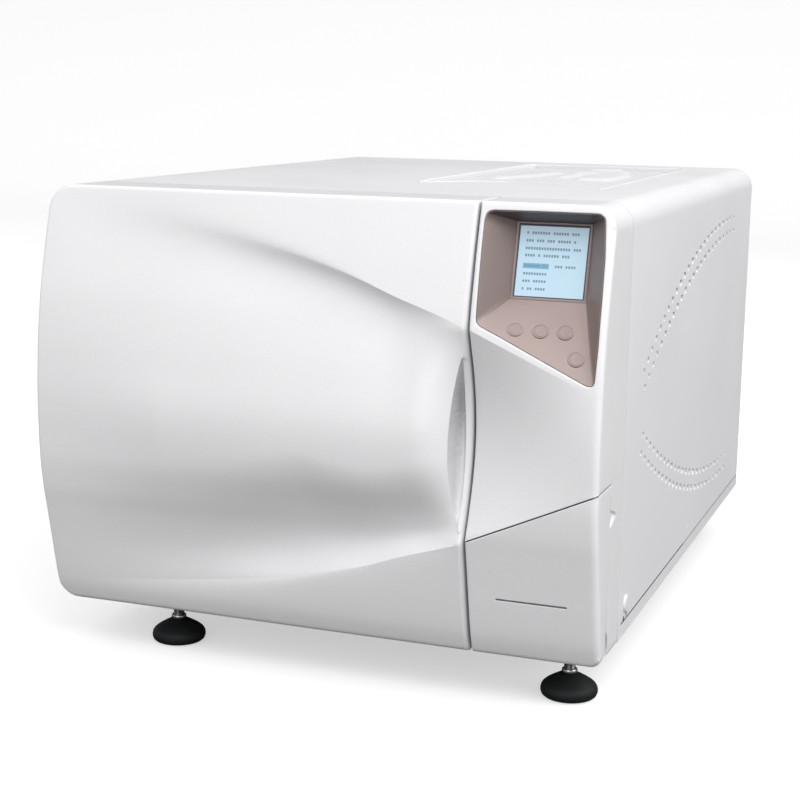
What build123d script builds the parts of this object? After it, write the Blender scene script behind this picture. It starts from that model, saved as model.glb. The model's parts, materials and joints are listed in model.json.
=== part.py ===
from build123d import *
import math
import os

# Tabletop steam steriliser: a sheet-metal casing with a hinged door on the left of the front and
# a fascia with display, buttons, printer and service flap on the right.
# X runs left to right seen from the front, Y from front to rear, Z up, all in mm. Pieces are
# modelled with y = 0 on the nominal front plane and z = 0 on the underside of the casing; on
# writing they move so that the origin lies on the bench under the middle of the depth.

os.makedirs("parts", exist_ok=True)

# ---------------------------------------------------------------- driving dimensions
WIDTH = 495.0
HALF = WIDTH / 2
CASE_FRONT, CASE_END = 60.0, 657.0    # front and rear edges of the casing cover
CASE_TOP = 363.4
CASE_BOTTOM = 12.8                    # lower edge of the casing cover
REAR_FACE = 659.0                     # outer face of the rear panel
TRAY_END = 655.0                      # rear edge of the base tray
FOOT_H = 47.0                         # underside of the casing above the bench
Y_CENTRE = 323.497                    # middle of the depth
SHEET = 1.2                           # casing cover sheet
SHELL = 3.0                           # wall of the moulded front shells
FLAP_WALL = 2.5
FRONT_DEPTH = 58.0                    # rear face of the door
FRONT_BOTTOM = 0.8                    # lower edge of the front shells
GAP_X = 138.0                         # gap between door and fascia
DOOR_RIGHT, FASCIA_LEFT = 137.0, 139.2
R_TOP, R_BOT = 20.0, 17.0             # top and bottom corner radii
AHEAD = -45.0                         # front end of blanks trimmed by the front surface
HINGE_X, HINGE_Y = -235.5, 46.0       # vertical door hinge axis
HINGE_Z = (80.0, 280.0)
KNUCKLE_R, HINGE_PIN_R = 7.0, 4.0
HINGE_SCREW_X, HINGE_SCREW_DZ = -220, (-20, 20)
CHAMBER_X, CHAMBER_Z = -55.0, 185.0   # chamber axis, running along Y
CHAMBER_R = 125.0
JACKET_R = 149.0                      # outside of the insulation
TRAY_LEVELS = (134.0, 179.0, 224.0)
LID_BOLT_R = 8.0
BOLT_SLOT = (31, 45, 176, 194)        # y and z limits of the lock openings
FLAP_Y, FLAP_Z = 9.0, 9.8             # flap hinge axis, running along X
FLAP_PIN_R = 1.5
FLAP_LUGS = ((146.5, 149.5), (236, 239))
DRAIN_X, DRAIN_Z = (180.0, 208.0), 16
FILTER_X, FILTER_Z = 212, 112
ROLL_Y, ROLL_Z = 25, 76               # paper roll axis
PLATEN_Y, PLATEN_Z = 15, 46
BUTTON_R = 5.3
FAN_X, FAN_Z = 165.0, 85.0
INLET_X, INLET_Z = -190.0, 60.0
BARBS = ((-95.0, 40.0), (-60.0, 40.0))          # x, z of the rear hose barbs
VALVE_X, VALVE_Z = 20, 300
STEAM_X, STEAM_Y = 190, 125
NECKS = ((140.0, 340.0), (140.0, 520.0))        # x, y of the tank necks
SIDE_SCREWS = ((86.0, 25.0), (360.0, 24.0), (630.0, 24.0))   # y, z on both sides
REAR_SCREWS = ((-232, 348), (232, 348), (-232, 16), (232, 16), (0, 350), (0, 10))   # x, z
# foot: x, y, top of the clearance hole, top of the stud
FEET = {
    "front_left": (-154.0, 49.5, -2.5, -3.6),
    "front_right": (211.0, 49.5, -2.5, -3.6),
    "rear_left": (-165.0, 590.0, 14, 11.0),
    "rear_right": (165.0, 590.0, 14, 11.0),
}


# ---------------------------------------------------------------- solids from limits
# The two limits along an axis may come in either order in box and the rods.
def box(x0, x1, y0, y1, z0, z1):
    size = Box(abs(x1 - x0), abs(y1 - y0), abs(z1 - z0))
    return Pos((x0 + x1) / 2, (y0 + y1) / 2, (z0 + z1) / 2) * size


def rod_x(x0, x1, y, z, r):
    return Pos((x0 + x1) / 2, y, z) * Rot(0, 90, 0) * Cylinder(r, abs(x1 - x0))


def rod_y(x, y0, y1, z, r):
    return Pos(x, (y0 + y1) / 2, z) * Rot(90, 0, 0) * Cylinder(r, abs(y1 - y0))


def rod_z(x, y, z0, z1, r):
    return Pos(x, y, (z0 + z1) / 2) * Cylinder(r, abs(z1 - z0))


def chamber_rod(y0, y1, r):
    return rod_y(CHAMBER_X, y0, y1, CHAMBER_Z, r)


def polygon(points):
    return make_face(Polyline(*points, close=True))


def prism_xz(points, y0, y1):
    plane = Plane(origin=(0, y1, 0), x_dir=(1, 0, 0), z_dir=(0, -1, 0))
    return extrude(plane * polygon(points), y1 - y0)


def prism_yz(points, x0, x1):
    plane = Plane(origin=(x0, 0, 0), x_dir=(0, 1, 0), z_dir=(1, 0, 0))
    return extrude(plane * polygon(points), x1 - x0)


def prism_xy(points, z0, z1):
    return extrude(Plane.XY.offset(z0) * polygon(points), z1 - z0)


def arc_points(cx, cy, r, start, end, steps=8):
    angles = [math.radians(start + (end - start) * i / steps) for i in range(steps + 1)]
    return [(cx + r * math.cos(a), cy + r * math.sin(a)) for a in angles]


def round_edges(body, axis, place, radius):
    """Fillets the edges along an axis whose centres match the given coordinates."""
    edges = [edge for edge in body.edges().filter_by(axis)
             if all(abs(getattr(edge.center(), k) - v) < 0.01 for k, v in place.items())]
    return fillet(edges, radius)


def plate(x0, x1, z0, z1, y0, y1, tl=0, tr=0, br=0, bl=0):
    """Upright plate across the machine with its own radius at each corner, seen from the front."""
    body = prism_xz([(x0, z0), (x1, z0), (x1, z1), (x0, z1)], y0, y1)
    for radius, x, z in ((tl, x0, z1), (tr, x1, z1), (br, x1, z0), (bl, x0, z0)):
        if radius > 0:
            body = round_edges(body, Axis.Y, {"X": x, "Z": z}, radius)
    return body


def inset_polygon(points, distance):
    """Moves a counter-clockwise polygon's edges inward."""
    out = []
    for i, (bx, by) in enumerate(points):
        ax, ay = points[i - 1]
        cx, cy = points[(i + 1) % len(points)]
        before, after = (bx - ax, by - ay), (cx - bx, cy - by)
        len_before, len_after = math.hypot(*before), math.hypot(*after)
        mx = -before[1] / len_before - after[1] / len_after
        my = before[0] / len_before + after[0] / len_after
        k = max((mx ** 2 + my ** 2) / 2, 0.35)      # limits the mitre at sharp corners
        out.append((bx + distance * mx / k, by + distance * my / k))
    return out


def largest(shape):
    return max(shape.solids(), key=lambda solid: solid.volume)


# ---------------------------------------------------------------- front surface
# z, y of the plain front profile
PROFILE = [(-15, 5), (0, 0.5), (36, -8), (61, -13.5), (85, -19), (106, -23.8), (136, -27.6),
           (180, -29), (223, -26.8), (266, -21.5), (308, -12.2), (333, -5.5), (350, -0.5),
           (363, 3.5), (380, 10)]
# x, z of the upper and lower borders of the hollow across the door
HOLLOW_TOP = [(-247.5, 346.5), (-221.6, 344.8), (-196.9, 342.4), (-148.6, 339), (-101, 332.5),
              (-54.3, 324.2), (-8.6, 314.4), (36.3, 301.8), (80.5, 285.7), (106.4, 277.2),
              (127.7, 269.3), (138, 265.2)]
HOLLOW_BOTTOM = [(-247.5, 13), (-194.1, 20), (-152.7, 24), (-94.9, 30.9), (-55, 36.7),
                 (-21.9, 42.9), (10.9, 51.7), (48.9, 62), (83.5, 74.9), (109.8, 83.5),
                 (138, 92.9)]


def smooth(x, knots):
    """Monotone-slope cubic through the knots, straight beyond the ends."""
    xs, ys = zip(*knots)
    n = len(xs)
    d = [(ys[i + 1] - ys[i]) / (xs[i + 1] - xs[i]) for i in range(n - 1)]
    inner = [0.0 if a * b <= 0 else 2 * a * b / (a + b) for a, b in zip(d, d[1:])]
    m = [d[0]] + inner + [d[-1]]
    if x <= xs[0]:
        return ys[0] + m[0] * (x - xs[0])
    if x >= xs[-1]:
        return ys[-1] + m[-1] * (x - xs[-1])
    i = max(k for k in range(n - 1) if x >= xs[k])
    h = xs[i + 1] - xs[i]
    t = (x - xs[i]) / h
    return ((2 * t ** 3 - 3 * t ** 2 + 1) * ys[i] + (t ** 3 - 2 * t ** 2 + t) * h * m[i]
            + (-2 * t ** 3 + 3 * t ** 2) * ys[i + 1] + (t ** 3 - t ** 2) * h * m[i + 1])


def seam_z(x):
    """Sloping upper edge of the service flap."""
    return 94.5 + 0.4588 * (x - 138.3)


def rim_z(x):
    """Sloping lower edge of the console rim."""
    return 265.6 - 0.426 * (x - 139.0)


def base_y(z):
    return smooth(z, PROFILE)


def edge_drop(distance, r):
    """Set-back of a rounded edge at a distance inside it."""
    if distance >= r:
        return 0.0
    distance = max(distance, 0.0)
    return r - math.sqrt(max(r * r - (r - distance) ** 2, 0.0))


def waist(z, low, high, depth):
    """Straight line between two heights of the profile, pushed back by a sine bulge."""
    t = (high - z) / (high - low)
    if t <= 0 or t >= 1:
        return base_y(z)
    y_high, y_low = base_y(high), base_y(low)
    return y_high + (y_low - y_high) * t + depth * math.sin(math.pi * t)


def dip(distance, reach, power):
    """Bump from 0 at the border to 1 at its reach, then fading."""
    return ((distance / reach) * math.exp(1 - distance / reach)) ** power


def front_y(x, z):
    if x <= GAP_X:
        high, low = smooth(x, HOLLOW_TOP), smooth(x, HOLLOW_BOTTOM)
        y = base_y(z)
        if low < z < high:
            s = max(0.0, min(1.0, (x + 220) / 358))
            y += 13.5 * s ** 2.0 * dip(high - z, 24, 1.4) + 17.5 * s ** 1.8 * dip(z - low, 32, 1.15)
            if x > 92:      # blends into the waist at the gap
                w = ((x - 92) / (GAP_X - 92)) ** 2.7
                y = (1 - w) * y + w * waist(z, 92.9, 265.2, 23.5)
        y += edge_drop(x + HALF, 9) * 0.8
    else:
        s = max(0.0, min(1.0, (x - 139) / 106))
        y = waist(z, seam_z(x), rim_z(x), -1.5 + 25 * (1 - s) ** 1.6)
        y += edge_drop(HALF - x, 10) * 0.8
    return y + edge_drop(CASE_TOP - z, 9) * 0.7 + edge_drop(z - FRONT_BOTTOM, 8) * 0.7


def front_region(x0, x1, set_back, nx, nz):
    """Solid behind the front surface, moved back by set_back, from an nx by nz grid."""
    xs = [x0 + (x1 - x0) * i / (nx - 1) for i in range(nx)]
    zs = [-1 + (CASE_TOP + 2) * j / (nz - 1) for j in range(nz)]
    grid = [[Vector(x, front_y(min(max(x, -HALF), HALF), z) + set_back, z) for z in zs]
            for x in xs]
    face = Face.make_surface_from_array_of_points(grid, tol=0.4, min_deg=3, max_deg=3)
    return extrude(face, amount=120, dir=(0, 1, 0))


def door_region(set_back, nx, nz):
    return front_region(-HALF - 2, 139.5, set_back, nx, nz)


def fascia_region(set_back, nx=26, nz=50):
    return front_region(137.5, HALF + 2, set_back, nx, nz)


def below_seam(offset, y1):
    """Everything below the flap seam shifted by offset, back to y1."""
    x0, x1 = 130, 260
    return prism_xz([(x0, -5), (x1, -5), (x1, seam_z(x1) + offset), (x0, seam_z(x0) + offset)],
                    -60, y1)


# ---------------------------------------------------------------- base and feet
def base_tray():
    """Tray with side flanges, two vessel saddles and foot rails."""
    tray = box(-HALF, HALF, 61, TRAY_END, 0, 1.5)
    for side in (-1, 1):
        edge, lip = side * HALF, side * (HALF - 4.3)
        tray += box(edge, side * (HALF - 1.5), 61, TRAY_END, 0, 12)
        tray += box(edge, lip, 78, TRAY_END, 10.5, 12)
        tray += box(lip, side * (HALF - 2.8), 78, TRAY_END, 10.5, 32)
    tray += box(-238, 238, TRAY_END - 1.5, TRAY_END, 0, 20)
    for y in (150.0, 500.0):
        tray += box(-150, 40, y, y + 3, 1, 75) - chamber_rod(y - 1, y + 4, JACKET_R + 0.6)
    for x0, x1, y0, y1 in ((-190, 236, 27, 76), (-195, 195, 566, 614)):
        tray += box(x0, x1, y0, y1, -3, 0)
    for x, y, _, _ in FEET.values():
        tray += rod_z(x, y, -11, -2.9, 9)
    for x, y, hole_top, _ in FEET.values():
        tray -= rod_z(x, y, -20, hole_top, 5.05)
    for side in (-1, 1):
        for y, z in SIDE_SCREWS:
            tray -= rod_x(side * (HALF - 10), side * (HALF - 2), y, z, 2.3)
    return tray


# radius, height above the bench
FOOT_PROFILE = [(0, 0), (19.5, 0), (22.6, 2.2), (24, 5.5), (23.9, 8), (22.3, 10.8), (18.5, 13.6),
                (13, 16.9), (8.2, 19.3), (6.4, 19.9), (0, 19.9)]


def foot_pad(x, y):
    return Pos(x, y, -FOOT_H) * revolve(Plane.XZ * polygon(FOOT_PROFILE), Axis.Z)


def foot_stud(x, y, top):
    return rod_z(x, y, -23.2, top, 5.0) + rod_z(x, y, -27.05, -23.2, 5.9)


# ---------------------------------------------------------------- casing
# x, y of the wavy front edge of the recess in the top
RECESS_WAVE = [(13, 210), (29, 221), (50, 245), (77, 254), (97, 250), (120, 238), (144, 219),
               (165, 208), (186, 198)]
# x, y of the rest of the recess outline
RECESS_REST = [(186, 198), (188, 202), (186, 590), (184, 597), (178, 602), (12, 602), (6, 598),
               (4, 590), (5, 250), (9, 214)]


def recess_outline():
    """Catmull-Rom curve along the wave, four steps a span, then the straight sides."""
    out = []
    last = len(RECESS_WAVE) - 1
    for i in range(last):
        spans = [RECESS_WAVE[max(i - 1, 0)], RECESS_WAVE[i], RECESS_WAVE[i + 1],
                 RECESS_WAVE[min(i + 2, last)]]
        for k in range(4):
            t = k / 4
            out.append(tuple(
                0.5 * (2 * b + (c - a) * t + (2 * a - 5 * b + 4 * c - d) * t * t
                       + (3 * b - a - 3 * c + d) * t ** 3)
                for a, b, c, d in zip(*spans)))
    return out + RECESS_REST


RECESS = recess_outline()

# Vent curves: slot y = a*i*i + b*i + c; z on a circle with centre y, centre z, radius and side
VENT_SLOTS = 24
VENT_CURVES = (
    (0.162, 14.513, 122.744, 532.9, -577.0, 895.0, 1),
    (0.147, 14.833, 128.518, 547.0, -622.1, 926.0, 1),
    (0.153, 15.451, 129.2, 569.9, 1028.2, 970.9, -1),
    (0.166, 15.186, 124.5, 568.4, 1026.3, 984.3, -1),
)


def case_block(inset, y0, y1):
    r = R_TOP - inset
    points = [(-HALF + inset, CASE_BOTTOM), (HALF - inset, CASE_BOTTOM)]
    points += arc_points(HALF - R_TOP, CASE_TOP - R_TOP, r, 0, 90, 10)
    points += arc_points(-HALF + R_TOP, CASE_TOP - R_TOP, r, 90, 180, 10)
    return prism_xz(points, y0, y1)


def vent_slots():
    """Round-ended slots through both side walls, largest in the middle of each curve."""
    slots = []
    for a, b, c, centre_y, centre_z, radius, side in VENT_CURVES:
        for i in range(VENT_SLOTS):
            y = a * i * i + b * i + c
            z = centre_z + side * math.sqrt(radius ** 2 - (y - centre_y) ** 2)
            swell = math.sin(math.pi * (i + 0.5) / VENT_SLOTS)
            width, r = 7.6 + 3.4 * swell, (4.6 + 1.6 * swell) / 2
            points = arc_points(y + width / 2 - r, z, r, -90, 90, 5)
            points += arc_points(y - width / 2 + r, z, r, 90, 270, 5)
            for wall in (-HALF, HALF):
                slots.append(prism_yz(points, wall - 5, wall + 5).solid())
    return slots


def casing_cover():
    y0, y1 = CASE_FRONT - 1, CASE_END + 1
    cover = case_block(0, CASE_FRONT, CASE_END) - case_block(SHEET, y0, y1)
    cover -= box(-HALF + SHEET, HALF - SHEET, y0, y1, 0, 200)
    cover -= prism_xy(RECESS, 340, 380)
    cover = cover.cut(*vent_slots())
    for wall in (-HALF, HALF):
        for y, z in SIDE_SCREWS:
            cover -= rod_x(wall - 6, wall + 6, y, z, 2.2)
    return cover


def casing_screws():
    """Slotted screws in the sides and the rear."""
    screws = []
    for side in (-1, 1):
        wall = side * HALF
        for y, z in SIDE_SCREWS:
            head = rod_x(wall, side * (HALF + 1.8), y, z, 5)
            head -= box(side * (HALF + 0.9), side * (HALF + 3), y - 0.7, y + 0.7, z - 3.5, z + 3.5)
            screws.append(rod_x(side * (HALF - 8), wall, y, z, 1.9) + head)
    for x, z in REAR_SCREWS:
        head = rod_y(x, REAR_FACE, REAR_FACE + 1.8, z, 4)
        head -= box(x - 3, x + 3, 660, 662, z - 0.6, z + 0.6)
        screws.append(head + rod_y(x, 656.5, REAR_FACE, z, 1.9))
    return screws


def rear_panel():
    """Rear sheet with the fan guard and openings."""
    def hole(x, z, r):
        return rod_y(x, 650, 665, z, r)

    guard_y = (657.2, 658.8)
    panel = plate(-HALF, HALF, 0, CASE_TOP, CASE_END, REAR_FACE, tl=R_TOP, tr=R_TOP)
    panel -= hole(FAN_X, FAN_Z, 54)
    for r in (14, 27, 40):
        panel += rod_y(FAN_X, *guard_y, FAN_Z, r + 1) - hole(FAN_X, FAN_Z, r - 1)
    panel += box(FAN_X - 54.5, FAN_X + 54.5, *guard_y, FAN_Z - 1.2, FAN_Z + 1.2)
    panel += box(FAN_X - 1.2, FAN_X + 1.2, *guard_y, FAN_Z - 54.5, FAN_Z + 54.5)
    panel -= box(INLET_X - 14, INLET_X + 14, 650, 665, INLET_Z - 24, INLET_Z + 24)
    for x, z in BARBS:
        panel -= hole(x, z, 5.3)
    for x, z in REAR_SCREWS:
        panel -= hole(x, z, 2.1)
    for k in range(9):
        panel -= box(-160, -60, 650, 665, 262 + k * 8, 265.5 + k * 8)
    return panel - hole(VALVE_X, VALVE_Z, 9.5)


def power_inlet():
    """Mains socket below, switch opening above."""
    x, z = INLET_X, INLET_Z
    inlet = box(x - 13.8, x + 13.8, 640, REAR_FACE, z - 23.8, z + 23.8)
    inlet += box(x - 17, x + 17, REAR_FACE, 661.5, z - 28, z + 28)
    inlet -= box(x - 11, x + 11, 644, 665, z - 21, z - 1)
    for dx, dz in ((0, -7), (-6, -14), (6, -14)):
        inlet += box(x + dx - 1, x + dx + 1, 643, 656, z + dz - 2, z + dz + 2)
    inlet -= box(x - 11.2, x + 11.2, 645, 665, z + 3, z + 23)
    return inlet - rod_x(x - 12.9, x + 12.9, 652, z + 13, 1.55)


def rocker_switch():
    profile = [(650, 4.2), (661.0, 4.6), (662.6, 13.0), (661.0, 21.4), (650, 21.8)]
    rocker = prism_yz(profile, INLET_X - 10.8, INLET_X + 10.8)
    axle = rod_x(INLET_X - 12.6, INLET_X + 12.6, 652, INLET_Z + 13, 1.5)
    return Pos(0, 0, INLET_Z) * rocker + axle


def front_frame():
    frame = plate(-245, 245, 2, 361, 73, 76, tl=19, tr=19)
    frame -= chamber_rod(70, 80, 146)
    frame -= box(146, 240, 70, 80, 8, 345)
    frame += box(-245, -243.2, 61, 74, 2, 340)
    frame += box(243.2, 245, 61, 74, 2, 340)
    frame += box(-224, 224, 61, 74, 359.2, 361)
    frame += box(-240, 240, 61.5, 74, 1.6, 3.2)
    for z in HINGE_Z:
        for dz in HINGE_SCREW_DZ:
            frame -= rod_y(HINGE_SCREW_X, 70, 80, z + dz, 2.1)
    return frame


# ---------------------------------------------------------------- door
GRIP_BOTTOM, GRIP_TOP, GRIP_RIGHT = 112.0, 244.0, 133.2


def grip_outline(grow):
    """Lens against a straight right side, enlarged by grow."""
    steps = 14
    low, high = GRIP_BOTTOM - grow, GRIP_TOP + grow
    curve = []
    for i in range(steps + 1):
        bulge = max(math.sin(math.pi * i / steps), 0.0) ** 0.8
        curve.append((GRIP_RIGHT - 0.6 - (8.6 + grow * 0.8) * bulge,
                      low + (high - low) * i / steps))
    right = GRIP_RIGHT + grow * 0.2
    return [(right, low), (right, high)] + curve[::-1]


def door_cover():
    """Moulded door shell, open at the rear, with a grip cup near its right edge."""
    outer = plate(-HALF, DOOR_RIGHT, FRONT_BOTTOM, CASE_TOP, AHEAD, FRONT_DEPTH,
                  tl=R_TOP, bl=R_BOT)
    outer = round_edges(outer, Axis.Z, {"X": -HALF, "Y": FRONT_DEPTH}, 12)
    region = door_region(0, 56, 50)
    right, low, high = DOOR_RIGHT - SHELL, FRONT_BOTTOM + SHELL, CASE_TOP - SHELL
    hollow = plate(-HALF + SHELL, right, low, high, AHEAD, FRONT_DEPTH - SHELL,
                   tl=R_TOP - SHELL, bl=R_BOT - SHELL)
    hollow = round_edges(hollow, Axis.Z, {"X": -HALF + SHELL, "Y": FRONT_DEPTH - SHELL}, 9)
    hollow = hollow & door_region(SHELL, 40, 36)
    hollow += plate(-233, right, low, high, 50, 60, tl=R_TOP - SHELL - 1, bl=R_BOT - SHELL - 1)
    door = (outer & region) - hollow
    door += prism_xz(grip_outline(2.4), -40, 22.5) & region
    door -= prism_xz(grip_outline(0), -60, 20)
    door -= box(130, 140, *BOLT_SLOT)
    for z in HINGE_Z:
        door -= box(-250, -226, 37, 62, z - 23, z + 23)
    return largest(door)


def door_inner_cover():
    cover = plate(-232.6, 133.6, 4.2, 360.0, 55.9, 57.8, tl=16.6, bl=13.6, tr=2, br=2)
    cover -= chamber_rod(50, 62, 60)
    for z in HINGE_Z:
        cover -= box(-236, -225.5, 50, 62, z - 24, z + 24)
    for x in (-180, 100):
        for z in (30, 335):
            cover -= rod_y(x, 50, 62, z, 2.2)
    return cover


def door_beam():
    """Cross beam with hinge leaves on the left and the catch on the right."""
    beam = box(-222, 117, 30, 44, 160, 210) - box(-214, 112, 33, 50, 166, 204)
    beam += box(-222, -186, 38, 46, 56, 304)
    beam += chamber_rod(30, 44, 26)
    beam += box(112, 131, 27, 49, 168, 202)
    beam -= box(114, 135, 32, 44, 177, 193)
    for z in HINGE_Z:
        low, high = z - 7.9, z + 7.9
        beam += (rod_z(HINGE_X, HINGE_Y, low, high, KNUCKLE_R)
                 + box(HINGE_X, -200, HINGE_Y - 3, HINGE_Y + 3, low, high))
        beam -= rod_z(HINGE_X, HINGE_Y, z - 12, z + 12, HINGE_PIN_R + 0.05)
    return beam - chamber_rod(20, 60, LID_BOLT_R + 0.3)


def pressure_lid():
    lid = chamber_rod(62, 72, 143) - chamber_rod(60, 65, 132) + chamber_rod(60, 70, 70)
    lid += chamber_rod(50.2, 64, 24)
    for k in range(8):
        rib = box(60, 135, 62.2, 66, -2, 2)
        lid += Pos(CHAMBER_X, 0, CHAMBER_Z) * Rot(0, 45 * k + 22.5, 0) * rib
    return lid - chamber_rod(40, 60, LID_BOLT_R + 0.3)


def door_gasket():
    return chamber_rod(72, 75.9, 142) - chamber_rod(70, 80, 131)


def lid_centre_bolt():
    """Bolt through beam and lid, and its nut."""
    hexagon = arc_points(CHAMBER_X, CHAMBER_Z, 14, 0, 300, 5)
    bolt = chamber_rod(22, 59.5, LID_BOLT_R) + prism_xz(hexagon, 20.5, 29.9)
    nut = prism_xz(hexagon, 44.2, 50.0) - chamber_rod(40, 55, LID_BOLT_R + 0.05)
    return [bolt, nut]


def hinge_bracket(z):
    bracket = box(-243, -214, 70, 73, z - 24, z + 24)
    for side in (-1, 1):
        near, far = z + side * 8.1, z + side * 18
        bracket += (rod_z(HINGE_X, HINGE_Y, near, far, KNUCKLE_R)
                    + box(HINGE_X - 3, HINGE_X + 3, HINGE_Y, 71, near, far))
    bracket -= rod_z(HINGE_X, HINGE_Y, z - 30, z + 30, HINGE_PIN_R + 0.02)
    for dz in HINGE_SCREW_DZ:
        bracket -= rod_y(HINGE_SCREW_X, 65, 80, z + dz, 2.1)
    return bracket


def hinge_brackets():
    return [hinge_bracket(z) for z in HINGE_Z]


def hinge_pins():
    return [rod_z(HINGE_X, HINGE_Y, z - 20, z + 18, HINGE_PIN_R)
            + rod_z(HINGE_X, HINGE_Y, z + 18, z + 20.5, 5.5) for z in HINGE_Z]


# ---------------------------------------------------------------- fascia and console
# x, z of the console opening, clockwise from the front
CONSOLE = [(148.8, 356.9), (186.9, 357.2), (234.4, 357.2), (238.6, 354.2), (239.4, 349),
           (241.5, 323.7), (242.1, 294.2), (242.2, 257.2), (241.2, 232.0), (239.8, 228.6),
           (235, 228.6), (197.8, 245.6), (164.8, 260.8), (146.4, 268.7), (143.9, 271.8),
           (143.6, 281), (143.1, 318.8), (142.8, 350), (144.4, 355.2)]
FASCIA_FRONT = fascia_region(0, 30, 60)


def fascia_panel():
    """Moulded shell with the console opening above and the flap compartment below."""
    outer = plate(FASCIA_LEFT, HALF, FRONT_BOTTOM, CASE_TOP, AHEAD, 59.6, tr=R_TOP, br=R_BOT)
    behind = fascia_region(SHELL)
    hollow = plate(FASCIA_LEFT + SHELL, HALF - SHELL, FRONT_BOTTOM + SHELL, CASE_TOP - SHELL,
                   AHEAD, 62, tr=R_TOP - SHELL, br=R_BOT - SHELL)
    shell = (outer & FASCIA_FRONT) - (hollow & behind)
    shell -= prism_xz(CONSOLE, -60, 24)
    shell -= below_seam(0.3, 18.3)
    x0, x1 = 141, 245.5
    ceiling = prism_xz([(x0, seam_z(x0) + 0.7), (x1, seam_z(x1) + 0.7), (x1, seam_z(x1) + 3.2),
                        (x0, seam_z(x0) + 3.2)], -60, 48)
    shell += ceiling & behind
    back_wall = prism_xz([(x0, 2), (x1, 2), (x1, seam_z(x1) + 2), (x0, seam_z(x0) + 2)], 46, 48)
    shell += back_wall & outer
    for x0, x1 in FLAP_LUGS:
        shell += (rod_x(x0, x1, FLAP_Y, FLAP_Z, 5) + box(x0, x1, FLAP_Y, 40, 4.8, 14.8)
                  + box(x0, x1, 20, 47, 2, 10))
        shell -= rod_x(x0 - 1, x1 + 1, FLAP_Y, FLAP_Z, FLAP_PIN_R + 0.02)
    # crescent notch in the right side
    crescent = [(18 + 18.5 * math.sin(math.pi * i / 12), 108 + 15 * i / 12) for i in range(1, 12)]
    shell -= prism_yz([(18, 108)] + crescent + [(18, 123)], HALF - 2.2, HALF + 5)
    shell -= box(138, 143, *BOLT_SLOT)
    shell -= rod_y(FILTER_X, 40, 60, FILTER_Z, 8)
    for x in DRAIN_X:
        shell -= rod_y(x, 40, 60, DRAIN_Z, 5)
    return largest(shell)


DISPLAY_TILT = math.radians(15.1)     # display leans back from upright
DISPLAY = Plane(origin=(193, 17.25, 315.25), x_dir=(1, 0, 0),
                z_dir=Vector(0, -math.cos(DISPLAY_TILT), math.sin(DISPLAY_TILT)))
# corners of the display funnel: x, y, z at the display and near the console face
FUNNEL = (
    ((165.5, 25.0, 344.0), (145.5, 1.5, 356.2)),
    ((220.5, 25.0, 344.0), (239.0, 1.5, 356.6)),
    ((220.5, 9.5, 286.5), (240.6, -25.5, 230.2)),
    ((165.5, 9.5, 286.5), (144.6, -21.5, 269.8)),
)
FUNNEL_END_Y = -42
# button centre and outward direction
BUTTONS = (
    ((173.7, -12.5, 266.9), (0.212, -0.679, 0.703)),
    ((192.9, -8.2, 266.1), (0.165, -0.739, 0.654)),
    ((211.8, -4.9, 265.7), (0.124, -0.794, 0.595)),
    ((223.7, -16.0, 247.6), (0.176, -0.796, 0.58)),
)


def display_funnel():
    """Opening that widens from the display to a plane ahead of the console."""
    far, near = [], []
    for inner, outer in FUNNEL:
        d = [b - a for a, b in zip(inner, outer)]
        t = (FUNNEL_END_Y - inner[1]) / d[1]
        far.append(tuple(a + t * k for a, k in zip(inner, d)))
        near.append((inner[0], inner[1] + 0.5, inner[2] - 0.13))
    return loft([polygon(far), polygon(near)], ruled=True)


def console_bezel():
    outline = inset_polygon(CONSOLE[::-1], 0.35)
    bezel = prism_xz(outline, -50, 40) & fascia_region(0.3)
    bezel -= DISPLAY * Pos(0, 0, -60.01) * Box(300, 300, 120)
    bezel -= display_funnel()
    for centre, outward in BUTTONS:
        plane = Plane(origin=centre, z_dir=outward)
        bezel -= plane * Pos(0, 0, 0.5) * Cylinder(BUTTON_R + 0.35, 11)
    return largest(bezel)


def button(centre, outward):
    return Plane(origin=centre, z_dir=outward) * Pos(0, 0, -1.6) * Cylinder(BUTTON_R, 4.0)


def display_window():
    return DISPLAY * Pos(0, 0, -0.85) * Box(60, 64, 1.5)


def display_module():
    module = DISPLAY * Pos(0, 0, -6.1) * Box(66, 72, 8.8)
    module += DISPLAY * Pos(0, -2, -11.4) * Box(74, 84, 1.6)
    module += DISPLAY * Pos(20, 20, -15) * Box(12, 8, 6)
    return module


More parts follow.
